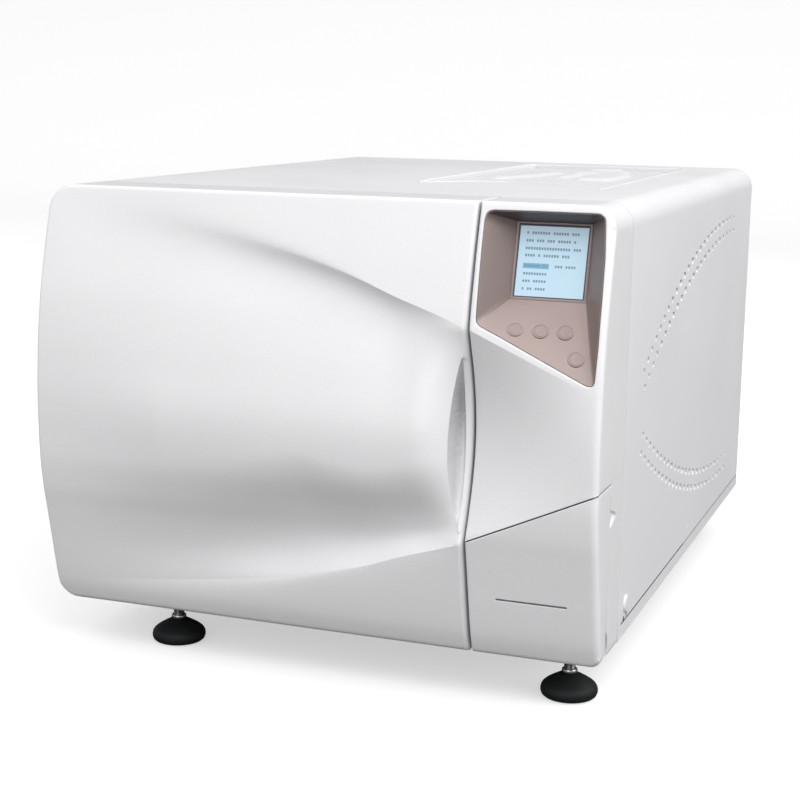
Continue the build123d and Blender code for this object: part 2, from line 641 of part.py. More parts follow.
# ---------------------------------------------------------------- service flap
def service_flap():
    """Hinged shell rounded about its hinge axis, with a paper slot."""
    inner_low = FRONT_BOTTOM + FLAP_WALL
    outer = plate(139.6, HALF, FRONT_BOTTOM, 200, AHEAD, 18, br=R_BOT)
    profile = [(-60, FRONT_BOTTOM)] + arc_points(FLAP_Y, FLAP_Z, 9, -90, 0, 8)
    profile += [(18, 200), (-60, 200)]
    rounded = prism_yz(profile, 130, 260)
    flap = (outer & FASCIA_FRONT) & below_seam(-0.4, 30)
    flap = flap & rounded
    hollow = plate(139.6 + FLAP_WALL, HALF - FLAP_WALL, inner_low, 200, AHEAD, 30,
                   br=R_BOT - FLAP_WALL)
    hollow = hollow & fascia_region(2.6)
    hollow = hollow & below_seam(-3.2, 30)
    profile = [(-60, inner_low)] + arc_points(FLAP_Y, FLAP_Z, 6.5, -90, -45, 5)
    profile += [(30, inner_low + 1.9), (30, 200), (-60, 200)]
    hollow = hollow & prism_yz(profile, 130, 260)
    flap -= hollow
    flap += rod_x(141, 146.2, FLAP_Y, FLAP_Z, 5) + rod_x(239.3, 246, FLAP_Y, FLAP_Z, 5)
    for x0, x1 in ((142.3, 147), (238, 244.8)):
        flap -= rod_x(x0, x1, FLAP_Y, FLAP_Z, FLAP_PIN_R + 0.05)
    for x0, x1 in FLAP_LUGS:
        flap -= box(x0 - 0.3, x1 + 0.3, 3.5, 20, -1, 16)
    flap -= box(163, 222, -40, 20, 46.7, 48.3)
    return largest(flap)


def flap_hinge_pins():
    return [rod_x(x0, x1, FLAP_Y, FLAP_Z, FLAP_PIN_R)
            for x0, x1 in ((142.6, 149.4), (236.1, 244.4))]


# ---------------------------------------------------------------- behind the flap
def printer_body():
    body = box(160, 226, 8, 45.9, 28, 100)
    body -= rod_x(164, 222, ROLL_Y, ROLL_Z, 16.5)
    body -= box(164, 222, 5, 25, 68, 92)
    body -= rod_x(164, 222, PLATEN_Y, PLATEN_Z, 6.3)
    body -= box(164, 222, 5, 15, 44.5, 49)
    body += rod_x(162, 168, ROLL_Y, ROLL_Z, 3) + rod_x(218, 224, ROLL_Y, ROLL_Z, 3)
    return body


def paper_roll():
    return rod_x(168.6, 217.4, ROLL_Y, ROLL_Z, 15) - rod_x(160, 230, ROLL_Y, ROLL_Z, 6)


def platen_roller():
    return rod_x(166, 220, PLATEN_Y, PLATEN_Z, 5.5)


def drain_couplings():
    return [rod_y(x, 31, 45.9, DRAIN_Z, 7) + rod_y(x, 45.9, 64, DRAIN_Z, 4.6)
            + rod_y(x, 21, 31, DRAIN_Z, 3) for x in DRAIN_X]


def cut_flutes(body, x, z, y1, count, pitch_r, r):
    """Cuts a ring of flutes along Y, from y = 19 to y1."""
    for cx, cz in arc_points(x, z, pitch_r, 0, 360, count)[:-1]:
        body -= rod_y(cx, 19, y1, cz, r)
    return body


def drain_knob(x):
    knob = cut_flutes(rod_y(x, 19.6, 30.7, DRAIN_Z, 8), x, DRAIN_Z, 31, 10, 8.6, 1.5)
    return knob - rod_y(x, 20.8, 31, DRAIN_Z, 3.06)


def air_filter():
    x, z = FILTER_X, FILTER_Z
    body = rod_y(x, 20, 45.9, z, 10.5) + rod_y(x, 15, 20, z, 8.5) + rod_y(x, 45.9, 58, z, 7)
    return cut_flutes(body, x, z, 40, 12, 11, 1.2)


# ---------------------------------------------------------------- door lock: rack and pinion
MODULE = 1.0
TEETH = 16
PRESSURE_ANGLE = math.radians(20)
BACKLASH = 0.12
PINION_X, PINION_Z = 175.0, 171.0
PITCH_R = MODULE * TEETH / 2
DEDENDUM = 1.25 * MODULE


def lock_bolt():
    """Sliding bolt with rack teeth along its underside, above the pinion."""
    pitch = math.pi * MODULE
    tip, root = PINION_Z + PITCH_R - MODULE, PINION_Z + PITCH_R + DEDENDUM
    half = pitch / 4 - BACKLASH / 2
    slope = math.tan(PRESSURE_ANGLE)
    start = PINION_X - 2.5 * pitch
    points = [(143, tip), (start - 1.4, tip), (start - 0.6, root)]
    for k in range(-2, 6):
        x = PINION_X + k * pitch
        at_tip, at_root = half - MODULE * slope, half + DEDENDUM * slope
        points += [(x - at_root, root), (x - at_tip, tip), (x + at_tip, tip), (x + at_root, root)]
    points += [(196, root), (196, 192), (143, 192), (140.5, 189.5), (140.5, 180.5)]
    return prism_xz(points, 33, 43)


def pinion_outline():
    """Involute teeth, turned half a tooth so that a gap faces the rack."""
    def involute(angle):
        return math.tan(angle) - angle

    def polar(r, angle):
        return (PINION_X + r * math.cos(angle), PINION_Z + r * math.sin(angle))

    base_r = PITCH_R * math.cos(PRESSURE_ANGLE)
    tip_r, root_r = PITCH_R + MODULE, PITCH_R - DEDENDUM
    start_r = max(base_r, root_r)
    half = math.pi / 2 / TEETH - BACKLASH / (2 * PITCH_R) + involute(PRESSURE_ANGLE)
    points = []
    for i in range(TEETH):
        centre = math.pi / 2 + math.pi / TEETH + 2 * math.pi * i / TEETH
        left, right = [], []
        for k in range(6):
            r = start_r + (tip_r - start_r) * k / 5
            offset = half - involute(math.acos(min(1.0, base_r / r)))
            left.append(polar(r, centre - offset))
            right.append(polar(r, centre + offset))
        points += [polar(root_r, centre - half)] + left + right[::-1]
        points.append(polar(root_r, centre + half))
    return points


def lock_pinion():
    pinion = prism_xz(pinion_outline(), 33.5, 42.5)
    pinion += rod_y(PINION_X, 42.5, 45, PINION_Z, 5)
    return pinion - rod_y(PINION_X, 30, 50, PINION_Z, 2.55)


def lock_housing():
    x, z = PINION_X, PINION_Z
    housing = box(146, 208, 29, 50, 155, 200)
    housing -= box(140, 210, 32.9, 43.1, 177.9, 192.15)
    housing -= rod_y(x, 32.5, 46, z, 10.6)
    housing -= box(x - 10.6, x + 10.6, 32.5, 43.2, z, 178)
    housing += rod_y(x, 50, 70, z, 14) + rod_y(x, 30, 52, z, 2.5)
    housing += box(150, 205, 50, 72.9, 196, 199)
    return housing


# ---------------------------------------------------------------- water tanks
# top z and x, y outline of the raised pads on the tank lid
LID_PADS = (
    (361.5, [(118, 383), (146, 383), (150, 390), (150, 483), (146, 490), (118, 490),
             (114, 483), (114, 390)]),
    (359.5, [(86, 566), (114, 566), (114, 590), (86, 590)]),
    (360.5, [(41, 369), (59, 415), (72, 483), (63, 483), (50, 418), (36, 372)]),
    (360.5, [(97, 410), (98, 466), (92, 466), (91, 412)]),
)


def tank_tray():
    tray = (prism_xy(inset_polygon(RECESS, 0.4), 348, 363.2)
            - prism_xy(inset_polygon(RECESS, 3.4), 350.2, 370))
    for x, y in NECKS:
        tray -= rod_z(x, y, 340, 360, 22.4)
    return tray


def tank_lid():
    outline = inset_polygon(RECESS, 4.6)
    lid = prism_xy(outline, 354.4, 356.6)
    lid += prism_xy(outline, 351.0, 356.0) - prism_xy(inset_polygon(RECESS, 6.6), 350, 358)
    for top, pad in LID_PADS:
        lid += prism_xy(pad, 355, top)
    return lid


def tank(y0, y1, neck):
    x, y = neck
    body = box(102, 240, y0, y1, 160, 343) - box(105, 237, y0 + 3, y1 - 3, 163, 340)
    body -= rod_z(x, y, 335, 350, 19)
    body += rod_z(x, y, 342, 350.5, 22) - rod_z(x, y, 330, 360, 19)
    return body


def clean_water_tank():
    return tank(250, 428, NECKS[0])


def waste_water_tank():
    return tank(434, 640, NECKS[1])


# ---------------------------------------------------------------- chamber
VESSEL_WALL = 3


def domed_body(front, r, depth):
    """Front profile revolved about Y and closed by an elliptical dome at the rear."""
    steps = 10
    dome = [(r * math.cos(math.radians(90 * i / steps)),
             520 + depth * math.sin(math.radians(90 * i / steps))) for i in range(steps + 1)]
    return revolve(Plane.XY * polygon(front + dome), Axis.Y)


def pressure_vessel():
    outer_r = CHAMBER_R + VESSEL_WALL
    vessel = domed_body([(0.0, 76.0), (150, 76.0), (150, 90.0), (outer_r, 90.0)],
                        outer_r, 49 + VESSEL_WALL)
    vessel -= domed_body([(0.0, 70.0), (CHAMBER_R, 70.0)], CHAMBER_R, 49)
    return Pos(CHAMBER_X, 0, CHAMBER_Z) * vessel


def insulation_jacket():
    return chamber_rod(92, 560, JACKET_R) - chamber_rod(90, 562, 131)


RACK_HALF = 92.0


def rack_side(side):
    """Side sheet with windows and tray rails."""
    def at(distance):
        return CHAMBER_X + side * distance

    sheet = box(at(RACK_HALF), at(RACK_HALF - 1.5), 100, 505, 103.5, 247)
    for k in range(5):
        y = 118 + k * 78
        for z in (112, 156, 200):
            sheet -= box(at(RACK_HALF + 1), at(RACK_HALF - 2.5), y, y + 50, z, z + 16)
    for z in TRAY_LEVELS:
        sheet += box(at(RACK_HALF - 0.5), at(RACK_HALF - 9), 100, 505, z - 1.2, z)
    return sheet


def tray_rack():
    rack = rack_side(-1) + rack_side(1)
    reach = RACK_HALF - 0.5
    for z in (106, 243):
        rack += box(CHAMBER_X - reach, CHAMBER_X + reach, 500, 504, z - 2, z + 2)
    return rack


def instrument_trays():
    pan = box(-89, 89, 108, 498, 0, 15) - box(-88, 88, 109, 497, 1, 20)
    pan = pan - [rod_z(-66 + 33 * i, 136 + 30.4 * j, -2, 3, 6)
                 for i in range(5) for j in range(12)]
    return [Pos(CHAMBER_X, 0, z + 0.05) * pan for z in TRAY_LEVELS]


# ---------------------------------------------------------------- machinery bay
def steam_generator():
    x, y = STEAM_X, STEAM_Y
    boiler = rod_z(x, y, 30, 200, 36) + rod_z(x, y, 200, 206, 42) + rod_z(x, y, 206, 222, 12)
    for leg_x, leg_y in arc_points(x, y, 28, 45, 315, 3):
        boiler += rod_z(leg_x, leg_y, 1.6, 32, 3)
    return boiler + rod_x(150, 156, y, 60, 6)


def vacuum_pump():
    pump = box(125, 225, 240, 330, 6, 14) + rod_y(175, 250, 350, 50, 33)
    pump += box(135, 215, 215, 252, 14, 100)
    pump += rod_z(155, 233, 100, 116, 7) + rod_z(195, 233, 100, 116, 7)
    for k in range(6):
        pump += rod_y(175, 268 + 12 * k, 271 + 12 * k, 50, 36)
    for x in (135, 215):
        for y in (248, 322):
            pump += rod_z(x, y, 1.6, 7, 6)
    return pump


def condenser():
    """End plates, tubes along Y and a stack of fins."""
    stack = box(112, 228, 520, 522, 22, 140) + box(112, 228, 598, 600, 22, 140)
    for k in range(5):
        z = 32 + 24 * k
        stack += rod_y(130, 518, 604, z, 4) + rod_y(210, 518, 604, z, 4)
        stack += rod_y(170, 518, 604, z, 4)
    for k in range(12):
        stack += box(114, 226, 527 + 6 * k, 528 + 6 * k, 24, 138)
    stack += box(112, 228, 520, 600, 20, 22.5)
    for x in (116, 222):
        stack += box(x - 4, x + 4, 530, 590, 1.6, 21)
    return stack


def fan_frame():
    frame = box(FAN_X - 60, FAN_X + 60, 632, 656.9, FAN_Z - 60, FAN_Z + 60)
    frame -= rod_y(FAN_X, 630, 660, FAN_Z, 56)
    for angle in (45, 135):
        spoke = box(-58, 58, 632, 635, -2.5, 2.5)
        frame += Pos(FAN_X, 0, FAN_Z) * Rot(0, angle, 0) * spoke
    frame += rod_y(FAN_X, 632, 638, FAN_Z, 19) + rod_y(FAN_X, 637, 650, FAN_Z, 3)
    for dx in (-52.5, 52.5):
        for dz in (-52.5, 52.5):
            frame -= rod_y(FAN_X + dx, 630, 660, FAN_Z + dz, 2.2)
    return frame


def fan_rotor():
    rotor = rod_y(FAN_X, 639, 655, FAN_Z, 20) - rod_y(FAN_X, 638, 651, FAN_Z, 3.06)
    for k in range(7):
        blade = Pos(36, 647, 0) * Rot(38, 0, 0) * Box(36, 1.8, 17)
        rotor += Pos(FAN_X, 0, FAN_Z) * Rot(0, k * 360 / 7, 0) * blade
    return rotor


def valve_block():
    block = box(116, 232, 380, 430, 12, 34)
    for k in range(5):
        x = 128 + 23 * k
        block += rod_z(x, 405, 34, 44, 7) + box(x - 9, x + 9, 393, 417, 43, 74)
    for x in (122, 226):
        block += box(x - 5, x + 5, 384, 426, 1.6, 13)
    return block


# y, z of the lower front corner, size along Y, height, size along X
BOARD_PARTS = ((100, 240, 30, 26, 14), (140, 240, 22, 60, 20), (170, 245, 40, 40, 9),
               (98, 290, 34, 30, 18), (180, 298, 36, 26, 24))


def control_board():
    board = box(236, 237.6, 90, 235, 225, 335)
    for y, z, length, height, depth in BOARD_PARTS:
        board += box(236 - depth, 236.5, y, y + length, z, z + height)
    return board


def safety_valve():
    x, z = VALVE_X, VALVE_Z
    return rod_y(x, 600, 676, z, 9) + rod_y(x, 659.2, 664, z, 13) + rod_y(x, 585, 600, z, 14)


# ---------------------------------------------------------------- pipework
PIPE_ROUTES = (
    [(VALVE_X, 584.5, VALVE_Z), (VALVE_X, 572, VALVE_Z), (60, 572, VALVE_Z), (60, 572, 120),
     (100, 572, 120)],
    [(148, STEAM_Y, 60), (118, STEAM_Y, 60), (118, 300, 60), (118, 300, 125)],
    [(BARBS[0][0], 629.5, 40), (BARBS[0][0], 600, 40), (BARBS[0][0], 600, 12), (95, 600, 12),
     (95, 440, 12)],
)


def pipe(route):
    path = FilletPolyline(*route, radius=10)
    section = Plane(origin=path @ 0, z_dir=path % 0) * Circle(4)
    return sweep(section, path=path)


def hose_barb(x, z):
    barb = rod_y(x, 630, 676, z, 5.0) + rod_y(x, 659.2, 663.5, z, 9)
    return barb - rod_y(x, 625, 680, z, 3.2)


def pipework():
    return [pipe(route) for route in PIPE_ROUTES] + [hose_barb(x, z) for x, z in BARBS]


# ---------------------------------------------------------------- write the pieces
BENCH = Location((0, -Y_CENTRE, FOOT_H))


def write(name, built):
    """Writes one shape or a list of shapes, moved to the bench frame."""
    shapes = built if isinstance(built, list) else [built]
    solids = [solid.moved(BENCH) for shape in shapes for solid in shape.solids()]
    piece = solids[0] if len(solids) == 1 else Compound(solids)
    export_step(piece, f"parts/{name}.step")


for build in (
    base_tray, casing_cover, casing_screws, rear_panel, power_inlet, rocker_switch, front_frame,
    door_cover, door_inner_cover, door_beam, pressure_lid, door_gasket, lid_centre_bolt,
    hinge_brackets, hinge_pins, fascia_panel, console_bezel, display_window, display_module,
    service_flap, flap_hinge_pins, printer_body, paper_roll, platen_roller, drain_couplings,
    air_filter, lock_bolt, lock_pinion, lock_housing, tank_tray, tank_lid, clean_water_tank,
    waste_water_tank, pressure_vessel, insulation_jacket, tray_rack, instrument_trays,
    steam_generator, vacuum_pump, condenser, fan_frame, fan_rotor, valve_block, control_board,
    safety_valve, pipework,
):
    write(build.__name__, build())
for corner, (x, y, _, stud_top) in FEET.items():
    write("foot_pad_" + corner, foot_pad(x, y))
    write("foot_stud_" + corner, foot_stud(x, y, stud_top))
for i, (centre, outward) in enumerate(BUTTONS, 1):
    write(f"button_{i}", button(centre, outward))
for i, x in enumerate(DRAIN_X, 1):
    write(f"drain_knob_{i}", drain_knob(x))
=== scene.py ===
import json
import math

import bpy
import numpy as np
from mathutils import Matrix, Vector
from mathutils.bvhtree import BVHTree
from mathutils.geometry import delaunay_2d_cdt

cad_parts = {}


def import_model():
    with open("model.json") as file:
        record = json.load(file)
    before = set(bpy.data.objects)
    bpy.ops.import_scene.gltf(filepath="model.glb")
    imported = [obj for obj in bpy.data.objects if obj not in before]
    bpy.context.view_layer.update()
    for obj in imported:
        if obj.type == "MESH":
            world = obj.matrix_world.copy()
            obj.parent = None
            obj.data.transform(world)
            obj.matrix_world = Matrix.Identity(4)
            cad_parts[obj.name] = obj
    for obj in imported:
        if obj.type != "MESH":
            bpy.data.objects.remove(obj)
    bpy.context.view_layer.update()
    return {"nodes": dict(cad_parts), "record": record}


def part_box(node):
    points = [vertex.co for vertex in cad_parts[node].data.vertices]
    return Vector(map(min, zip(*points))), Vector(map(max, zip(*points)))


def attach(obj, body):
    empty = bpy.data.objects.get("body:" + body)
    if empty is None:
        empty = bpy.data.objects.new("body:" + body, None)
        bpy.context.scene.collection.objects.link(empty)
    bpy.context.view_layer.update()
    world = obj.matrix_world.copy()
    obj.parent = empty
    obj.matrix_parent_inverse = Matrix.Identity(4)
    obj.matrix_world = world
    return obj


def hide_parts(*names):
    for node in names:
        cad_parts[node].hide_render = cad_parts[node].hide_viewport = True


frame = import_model()


scene = bpy.context.scene

# ============================================================ driving sizes
ZERO_Y = 76.0 - 1000.0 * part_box("front_frame")[1].y  # casing y at world y = 0
UNDERSIDE = 1000.0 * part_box("rear_panel")[0].z       # casing underside above the bench
HALF_WIDTH = 247.5
CASE_TOP = 363.4
LIP_Z = -4.8             # lower edge of the front skins, below the casing underside
WALL_FOOT = 0.8          # lower edge of the skins further back
SIDE_RADIUS = 5.5        # edge radius of fascia and flap along the right side

DOOR_RIGHT = 137.0
DOOR_BACK = 58.0
DOOR_WINDOWS = ((57, 103), (257, 303))   # z ranges of the openings in the door's left wall
DOOR_BOLT_Z = (176, 194)                 # lock bolt window in the door's right wall
FASCIA_BOLT_Z = (175.6, 194.4)           # and in the fascia's left wall
BOLT_Y = (31, 45)

FASCIA_LEFT = 139.2
FASCIA_BACK = 59.6
FASCIA_FRONT = 18.3      # y where the side walls' straight part begins
REAR_RADIUS = 1.2        # rear edge radius of door and fascia
FLAP_LEFT = 139.6
FLAP_BACK = 18.0
HINGE_Y, HINGE_Z = 9.0, 9.8              # the flap's pivot, along x
SEAM_HALF = 0.6          # half the seam between fascia and flap


def world(mm):
    return (np.asarray(mm, float) + [0, -ZERO_Y, UNDERSIDE]) / 1000


def points(*columns):
    """Stacks coordinate columns; single numbers are repeated."""
    return np.stack(np.broadcast_arrays(*columns), 1)


# ============================================================ front surface
# Tables are a row of stations over a row of values.
FRONT_PROFILE = (        # z, y of the plain front
    [-15, -5, 4, 14, 36, 61, 85, 106, 136, 180, 223, 266, 308, 333, 350, 363, 380],
    [12, 5.4, 1.2, -2.5, -8, -13.5, -19, -23.8, -27.6, -29, -26.8, -21.5, -12.2, -5.5,
     -0.5, 3.5, 10])
UPPER_CREASE = (         # x, z
    [-247.5, -221.6, -196.9, -148.6, -101, -54.3, -8.6, 36.3, 80.5, 106.4, 127.7, 138],
    [346.5, 344.8, 342.4, 339, 332.5, 324.2, 314.4, 301.8, 285.7, 277.2, 269.3, 265.2])
LOWER_CREASE = (         # x, z
    [-247.5, -194.1, -152.7, -94.9, -55, -21.9, 10.9, 48.9, 83.5, 109.8, 138],
    [13, 20, 24, 30.9, 36.7, 42.9, 51.7, 62, 74.9, 83.5, 92.9])
UPPER_DEPTH = (          # x, depth of the hollow below the upper crease
    [-247.5, -232, -185, -105, -10, 70, 105, 125, 138],
    [0, 0.7, 3.4, 6.0, 9.0, 8.2, 4.6, 2.5, 1.8])
LOWER_DEPTH = (          # x, depth of the hollow above the lower crease
    [-247.5, -232, -185, -105, -10, 70, 110, 138],
    [0, 0.3, 3.0, 8.8, 15.6, 14.4, 13.2, 12.0])
HOLLOW_X = [-247.5, -105, -10, 30, 70, 110, 138]
LOWER_ENTRY = (HOLLOW_X, [38, 36, 36, 30, 23, 18, 16])   # height from crease to deepest line
LOWER_EXIT = (HOLLOW_X, [80, 78, 76, 66, 58, 58, 58])    # height from there out to the belly

# Finger grip: a hollow between the belly's right edge and the rim along the gap
GRIP_STATIONS = [101, 106, 110, 118, 125.6, 142, 158.5, 175, 191, 207, 221, 233, 238.5, 241.5]
GRIP_EDGE = (GRIP_STATIONS, [132.4, 130.8, 129.7, 127.7, 126.0, 124.2, 123.5, 123.5, 124.1,
                             125.3, 127.2, 129.4, 130.8, 132.0])
GRIP_RIM = (GRIP_STATIONS, [132.7, 132.2, 132.3, 132.6, 132.7, 132.7, 132.5, 132.1, 131.8,
                            131.6, 131.7, 131.9, 132.1, 132.3])
GRIP_LOW, GRIP_HIGH = GRIP_STATIONS[0], GRIP_STATIONS[-1]
RIM_STEP = 1.4           # how far the rim's inner line stands before its outer line
BEVEL_X = 133.2          # inner edge of the flat bevel along the gap
WAIST_X, GAP_X = 92, 138.0               # the door blends into the waist between these


def curve(x, table):
    """Monotone cubic through a table, straight beyond its ends."""
    x = np.asarray(x, float)
    xs, ys = np.asarray(table, float)
    width = np.diff(xs)
    slope = np.diff(ys) / width
    tangent = np.zeros(len(xs))
    tangent[0], tangent[-1] = slope[0], slope[-1]
    for i in range(1, len(xs) - 1):
        before, after = slope[i - 1], slope[i]
        tangent[i] = 0.0 if before * after <= 0 else 2 * before * after / (before + after)
    i = np.clip(np.searchsorted(xs, x, side="right") - 1, 0, len(xs) - 2)
    t = (x - xs[i]) / width[i]
    y = ((2 * t ** 3 - 3 * t ** 2 + 1) * ys[i]
         + (t ** 3 - 2 * t ** 2 + t) * width[i] * tangent[i]
         + (-2 * t ** 3 + 3 * t ** 2) * ys[i + 1]
         + (t ** 3 - t ** 2) * width[i] * tangent[i + 1])
    y = np.where(x < xs[0], ys[0] + tangent[0] * (x - xs[0]), y)
    return np.where(x > xs[-1], ys[-1] + tangent[-1] * (x - xs[-1]), y)


def seam_z(x):
    """Seam between fascia and flap."""
    return 94.5 + 0.4588 * (x - 138.3)


def rim_z(x):
    """Upper edge of the waist across the fascia."""
    return 265.6 - 0.426 * (x - 139.0)


def base_y(z):
    return curve(z, FRONT_PROFILE)


def waist(z, low, high, depth):
    """Front pressed in between two heights."""
    t = (high - z) / (high - low)
    y_high, y_low = base_y(high), base_y(low)
    y = y_high + (y_low - y_high) * t + depth * np.sin(np.pi * np.clip(t, 0, 1))
    return np.where((t <= 0) | (t >= 1), base_y(z), y)


def door_plain(x, z):
    """Door front without edge radii and grip: a belly between two creases and hollows."""
    upper, lower = curve(x, UPPER_CREASE), curve(x, LOWER_CREASE)
    softness = 26 * np.clip((60 - x) / 300, 0, 1) ** 1.5

    def soft_positive(d):
        return 0.5 * (d + np.sqrt(d * d + softness * softness + 1e-9))

    below_upper, above_lower = soft_positive(upper - z), soft_positive(z - lower)
    upper_hollow = curve(x, UPPER_DEPTH) * (below_upper / 24) * np.exp(1 - below_upper / 24)
    entry, leave = curve(x, LOWER_ENTRY), curve(x, LOWER_EXIT)
    lower_hollow = curve(x, LOWER_DEPTH) * np.where(
        above_lower < entry,
        np.sin(np.pi / 2 * np.clip(above_lower / entry, 0, 1)) ** 0.9,
        0.5 + 0.5 * np.cos(np.pi * np.clip((above_lower - entry) / leave, 0, 1)))
    belly = 5.5 * np.exp(-((z - 170) / 50.0) ** 2) * np.clip((x + 240) / 110, 0, 1) ** 1.5
    blend = (np.clip((x - WAIST_X) / (GAP_X - WAIST_X), 0, 1)) ** 2.7
    crease_dip = (2.4 * np.clip((x + 240) / 140, 0, 1) * (1 - blend)
                  * np.exp(-np.abs(lower - z) / np.where(z < lower, 14, 50)))
    y = base_y(z) + upper_hollow + lower_hollow - belly + crease_dip
    waisted = (1 - blend) * y + blend * waist(z, LOWER_CREASE[1][-1], UPPER_CREASE[1][-1], 23.5)
    y = np.where((x > WAIST_X) & (z > lower) & (z < upper), waisted, y)
    return y + 0.30 * np.clip(x - BEVEL_X, 0, None) * np.clip((300 - z) / 50, 0, 1)


def grip_swell(z):
    """0 at both ends of the grip, 1 halfway."""
    return np.sin(np.pi * np.clip((z - GRIP_LOW) / (GRIP_HIGH - GRIP_LOW), 0, 1)) ** 0.7


def door_y(x, z):
    """Door front with the grip's hollow."""
    edge, rim = curve(z, GRIP_EDGE), curve(z, GRIP_RIM)
    y_edge = door_plain(edge, z)
    y_rim = door_plain(np.full_like(z, DOOR_RIGHT), z) - RIM_STEP
    width = np.maximum(rim - edge, 0.6)
    t = np.clip((x - edge) / width, 0, 1)
    depth = 3.8 + 3.0 * np.clip((z - 120) / 70, 0, 1)
    scoop = (y_edge + (y_rim - y_edge) * (1 - (1 - t) ** 2.6)
             + grip_swell(z) * (depth * np.sin(np.pi * t ** 0.7)) * np.clip(width / 7, 0, 1))
    rim_face = y_rim + RIM_STEP * np.clip((x - rim) / np.maximum(DOOR_RIGHT - rim, 0.5), 0, 1)
    in_grip = (z > GRIP_LOW) & (z < GRIP_HIGH) & (x > edge)
    return np.where(in_grip, np.where(x < rim, scoop, rim_face), door_plain(x, z))


def fascia_y(x, z):
    across = np.clip((x - 139) / 106, 0, 1)
    return waist(z, seam_z(x), rim_z(x), -1.5 + 25 * (1 - across) ** 1.6)


# ============================================================ flat outlines
# Closed outlines run counter-clockwise.
def dense(outline, step):
    """Resamples so that no edge is longer than step; corners stay."""
    outline = np.asarray(outline, float)
    out = []
    for a, b in zip(outline, np.roll(outline, -1, 0)):
        n = max(1, int(math.ceil(np.linalg.norm(b - a) / step)))
        out += [a + (b - a) * k / n for k in range(n)]
    return np.array(out)


def rounded(outline, radii, step):
    """Outline with a radius at each corner, resampled."""
    outline = np.asarray(outline, float)
    out = []
    for i, radius in enumerate(radii):
        corner = outline[i]
        u = outline[i - 1] - corner
        v = outline[(i + 1) % len(outline)] - corner
        u, v = u / np.linalg.norm(u), v / np.linalg.norm(v)
        opening = math.acos(np.clip(u @ v, -1, 1))
        reach = radius / math.tan(opening / 2)
        centre = corner + (u + v) / np.linalg.norm(u + v) * (radius / math.sin(opening / 2))
        first, last = corner + u * reach - centre, corner + v * reach - centre
        start = math.atan2(first[1], first[0])
        turn = (math.atan2(last[1], last[0]) - start + math.pi) % (2 * math.pi) - math.pi
        chord = min(step, max(radius * 0.35, 0.25))
        n = max(3, int(math.ceil(abs(turn) * radius / chord)))
        for k in range(n + 1):
            angle = start + turn * k / n
            out.append(centre + radius * np.array([math.cos(angle), math.sin(angle)]))
    return dense(out, step)


def with_z(outline, heights, x):
    """Adds points at given z on the vertical edges at x."""
    out = []
    for a, b in zip(outline, np.roll(outline, -1, 0)):
        out.append(tuple(a))
        if abs(a[0] - x) < 0.01 and abs(b[0] - x) < 0.01:
            low, high = min(a[1], b[1]) + 0.02, max(a[1], b[1]) - 0.02
            between = [z for z in heights if low < z < high]
            out += [(x, z) for z in sorted(between, reverse=b[1] < a[1])]
    return np.array(out)


def soften(outline, step, sigma):
    """Resamples, then smooths along the outline with a Gaussian."""
    dense_outline = dense(outline, step)
    reach = int(4 * sigma / step) + 1
    shifts = np.arange(-reach, reach + 1)
    weights = np.exp(-0.5 * (shifts * step / sigma) ** 2)
    weights /= weights.sum()
    out = np.zeros_like(dense_outline)
    for shift, weight in zip(shifts, weights):
        out += weight * np.roll(dense_outline, -shift, 0)
    return out


def clean_loop(loop, gap=0.02):
    """Drops points that nearly coincide."""
    keep = [0]
    for i in range(1, len(loop)):
        if np.linalg.norm(loop[i] - loop[keep[-1]]) > gap:
            keep.append(i)
    if np.linalg.norm(loop[keep[-1]] - loop[0]) < gap:
        keep.pop()
    return loop[keep]


def inside(places, outline):
    x, y = places[:, 0], places[:, 1]
    result = np.zeros(len(places), bool)
    for (x1, y1), (x2, y2) in zip(outline, np.roll(outline, -1, 0)):
        if y1 != y2:
            result ^= ((y1 > y) != (y2 > y)) & (x < (x2 - x1) * (y - y1) / (y2 - y1) + x1)
    return result


def segment_distance(places, starts, ends):
    """Distance from each place to the nearest segment."""
    out = np.full(len(places), 1e9)
    for s in range(0, len(starts), 64):
        a, b = starts[s:s + 64], ends[s:s + 64]
        d = b - a
        length2 = np.maximum((d ** 2).sum(1), 1e-12)
        t = np.clip(((places[:, None, :] - a[None]) * d[None]).sum(2) / length2[None], 0, 1)
        foot = a[None] + t[..., None] * d[None]
        out = np.minimum(out, np.sqrt(((places[:, None, :] - foot) ** 2).sum(2)).min(1))
    return out


def loop_distance(places, loop):
    return segment_distance(places, loop, np.roll(loop, -1, 0))


def point_distance(places, targets):
    """Distance from each place to the nearest target point."""
    out = np.full(len(places), 1e9)
    for s in range(0, len(targets), 400):
        gap = places[:, None] - targets[None, s:s + 400]
        out = np.minimum(out, np.sqrt((gap ** 2).sum(2)).min(1))
    return out


def inward(loop):
    """Inward normals at the points of a loop."""
    d = np.roll(loop, -1, 0) - loop
    d /= np.maximum(np.linalg.norm(d, axis=1), 1e-9)[:, None]
    n = points(-d[:, 1], d[:, 0])
    mean = n + np.roll(n, 1, 0)
    return mean / np.maximum(np.linalg.norm(mean, axis=1), 1e-9)[:, None]


def edge_drop(distance, radius):
    """How far a rounded edge falls away at a distance from the border."""
    d = np.clip(distance, 0, None)
    fall = radius - np.sqrt(np.maximum(radius ** 2 - (radius - np.minimum(d, radius)) ** 2, 0))
    return np.where(d >= radius, 0.0, fall)


def staggered(xs, ys, shift):
    """Grid points with every other row shifted in x."""
    x, y = np.meshgrid(xs, ys)
    x[1::2] += shift
    return points(x.ravel(), y.ravel())


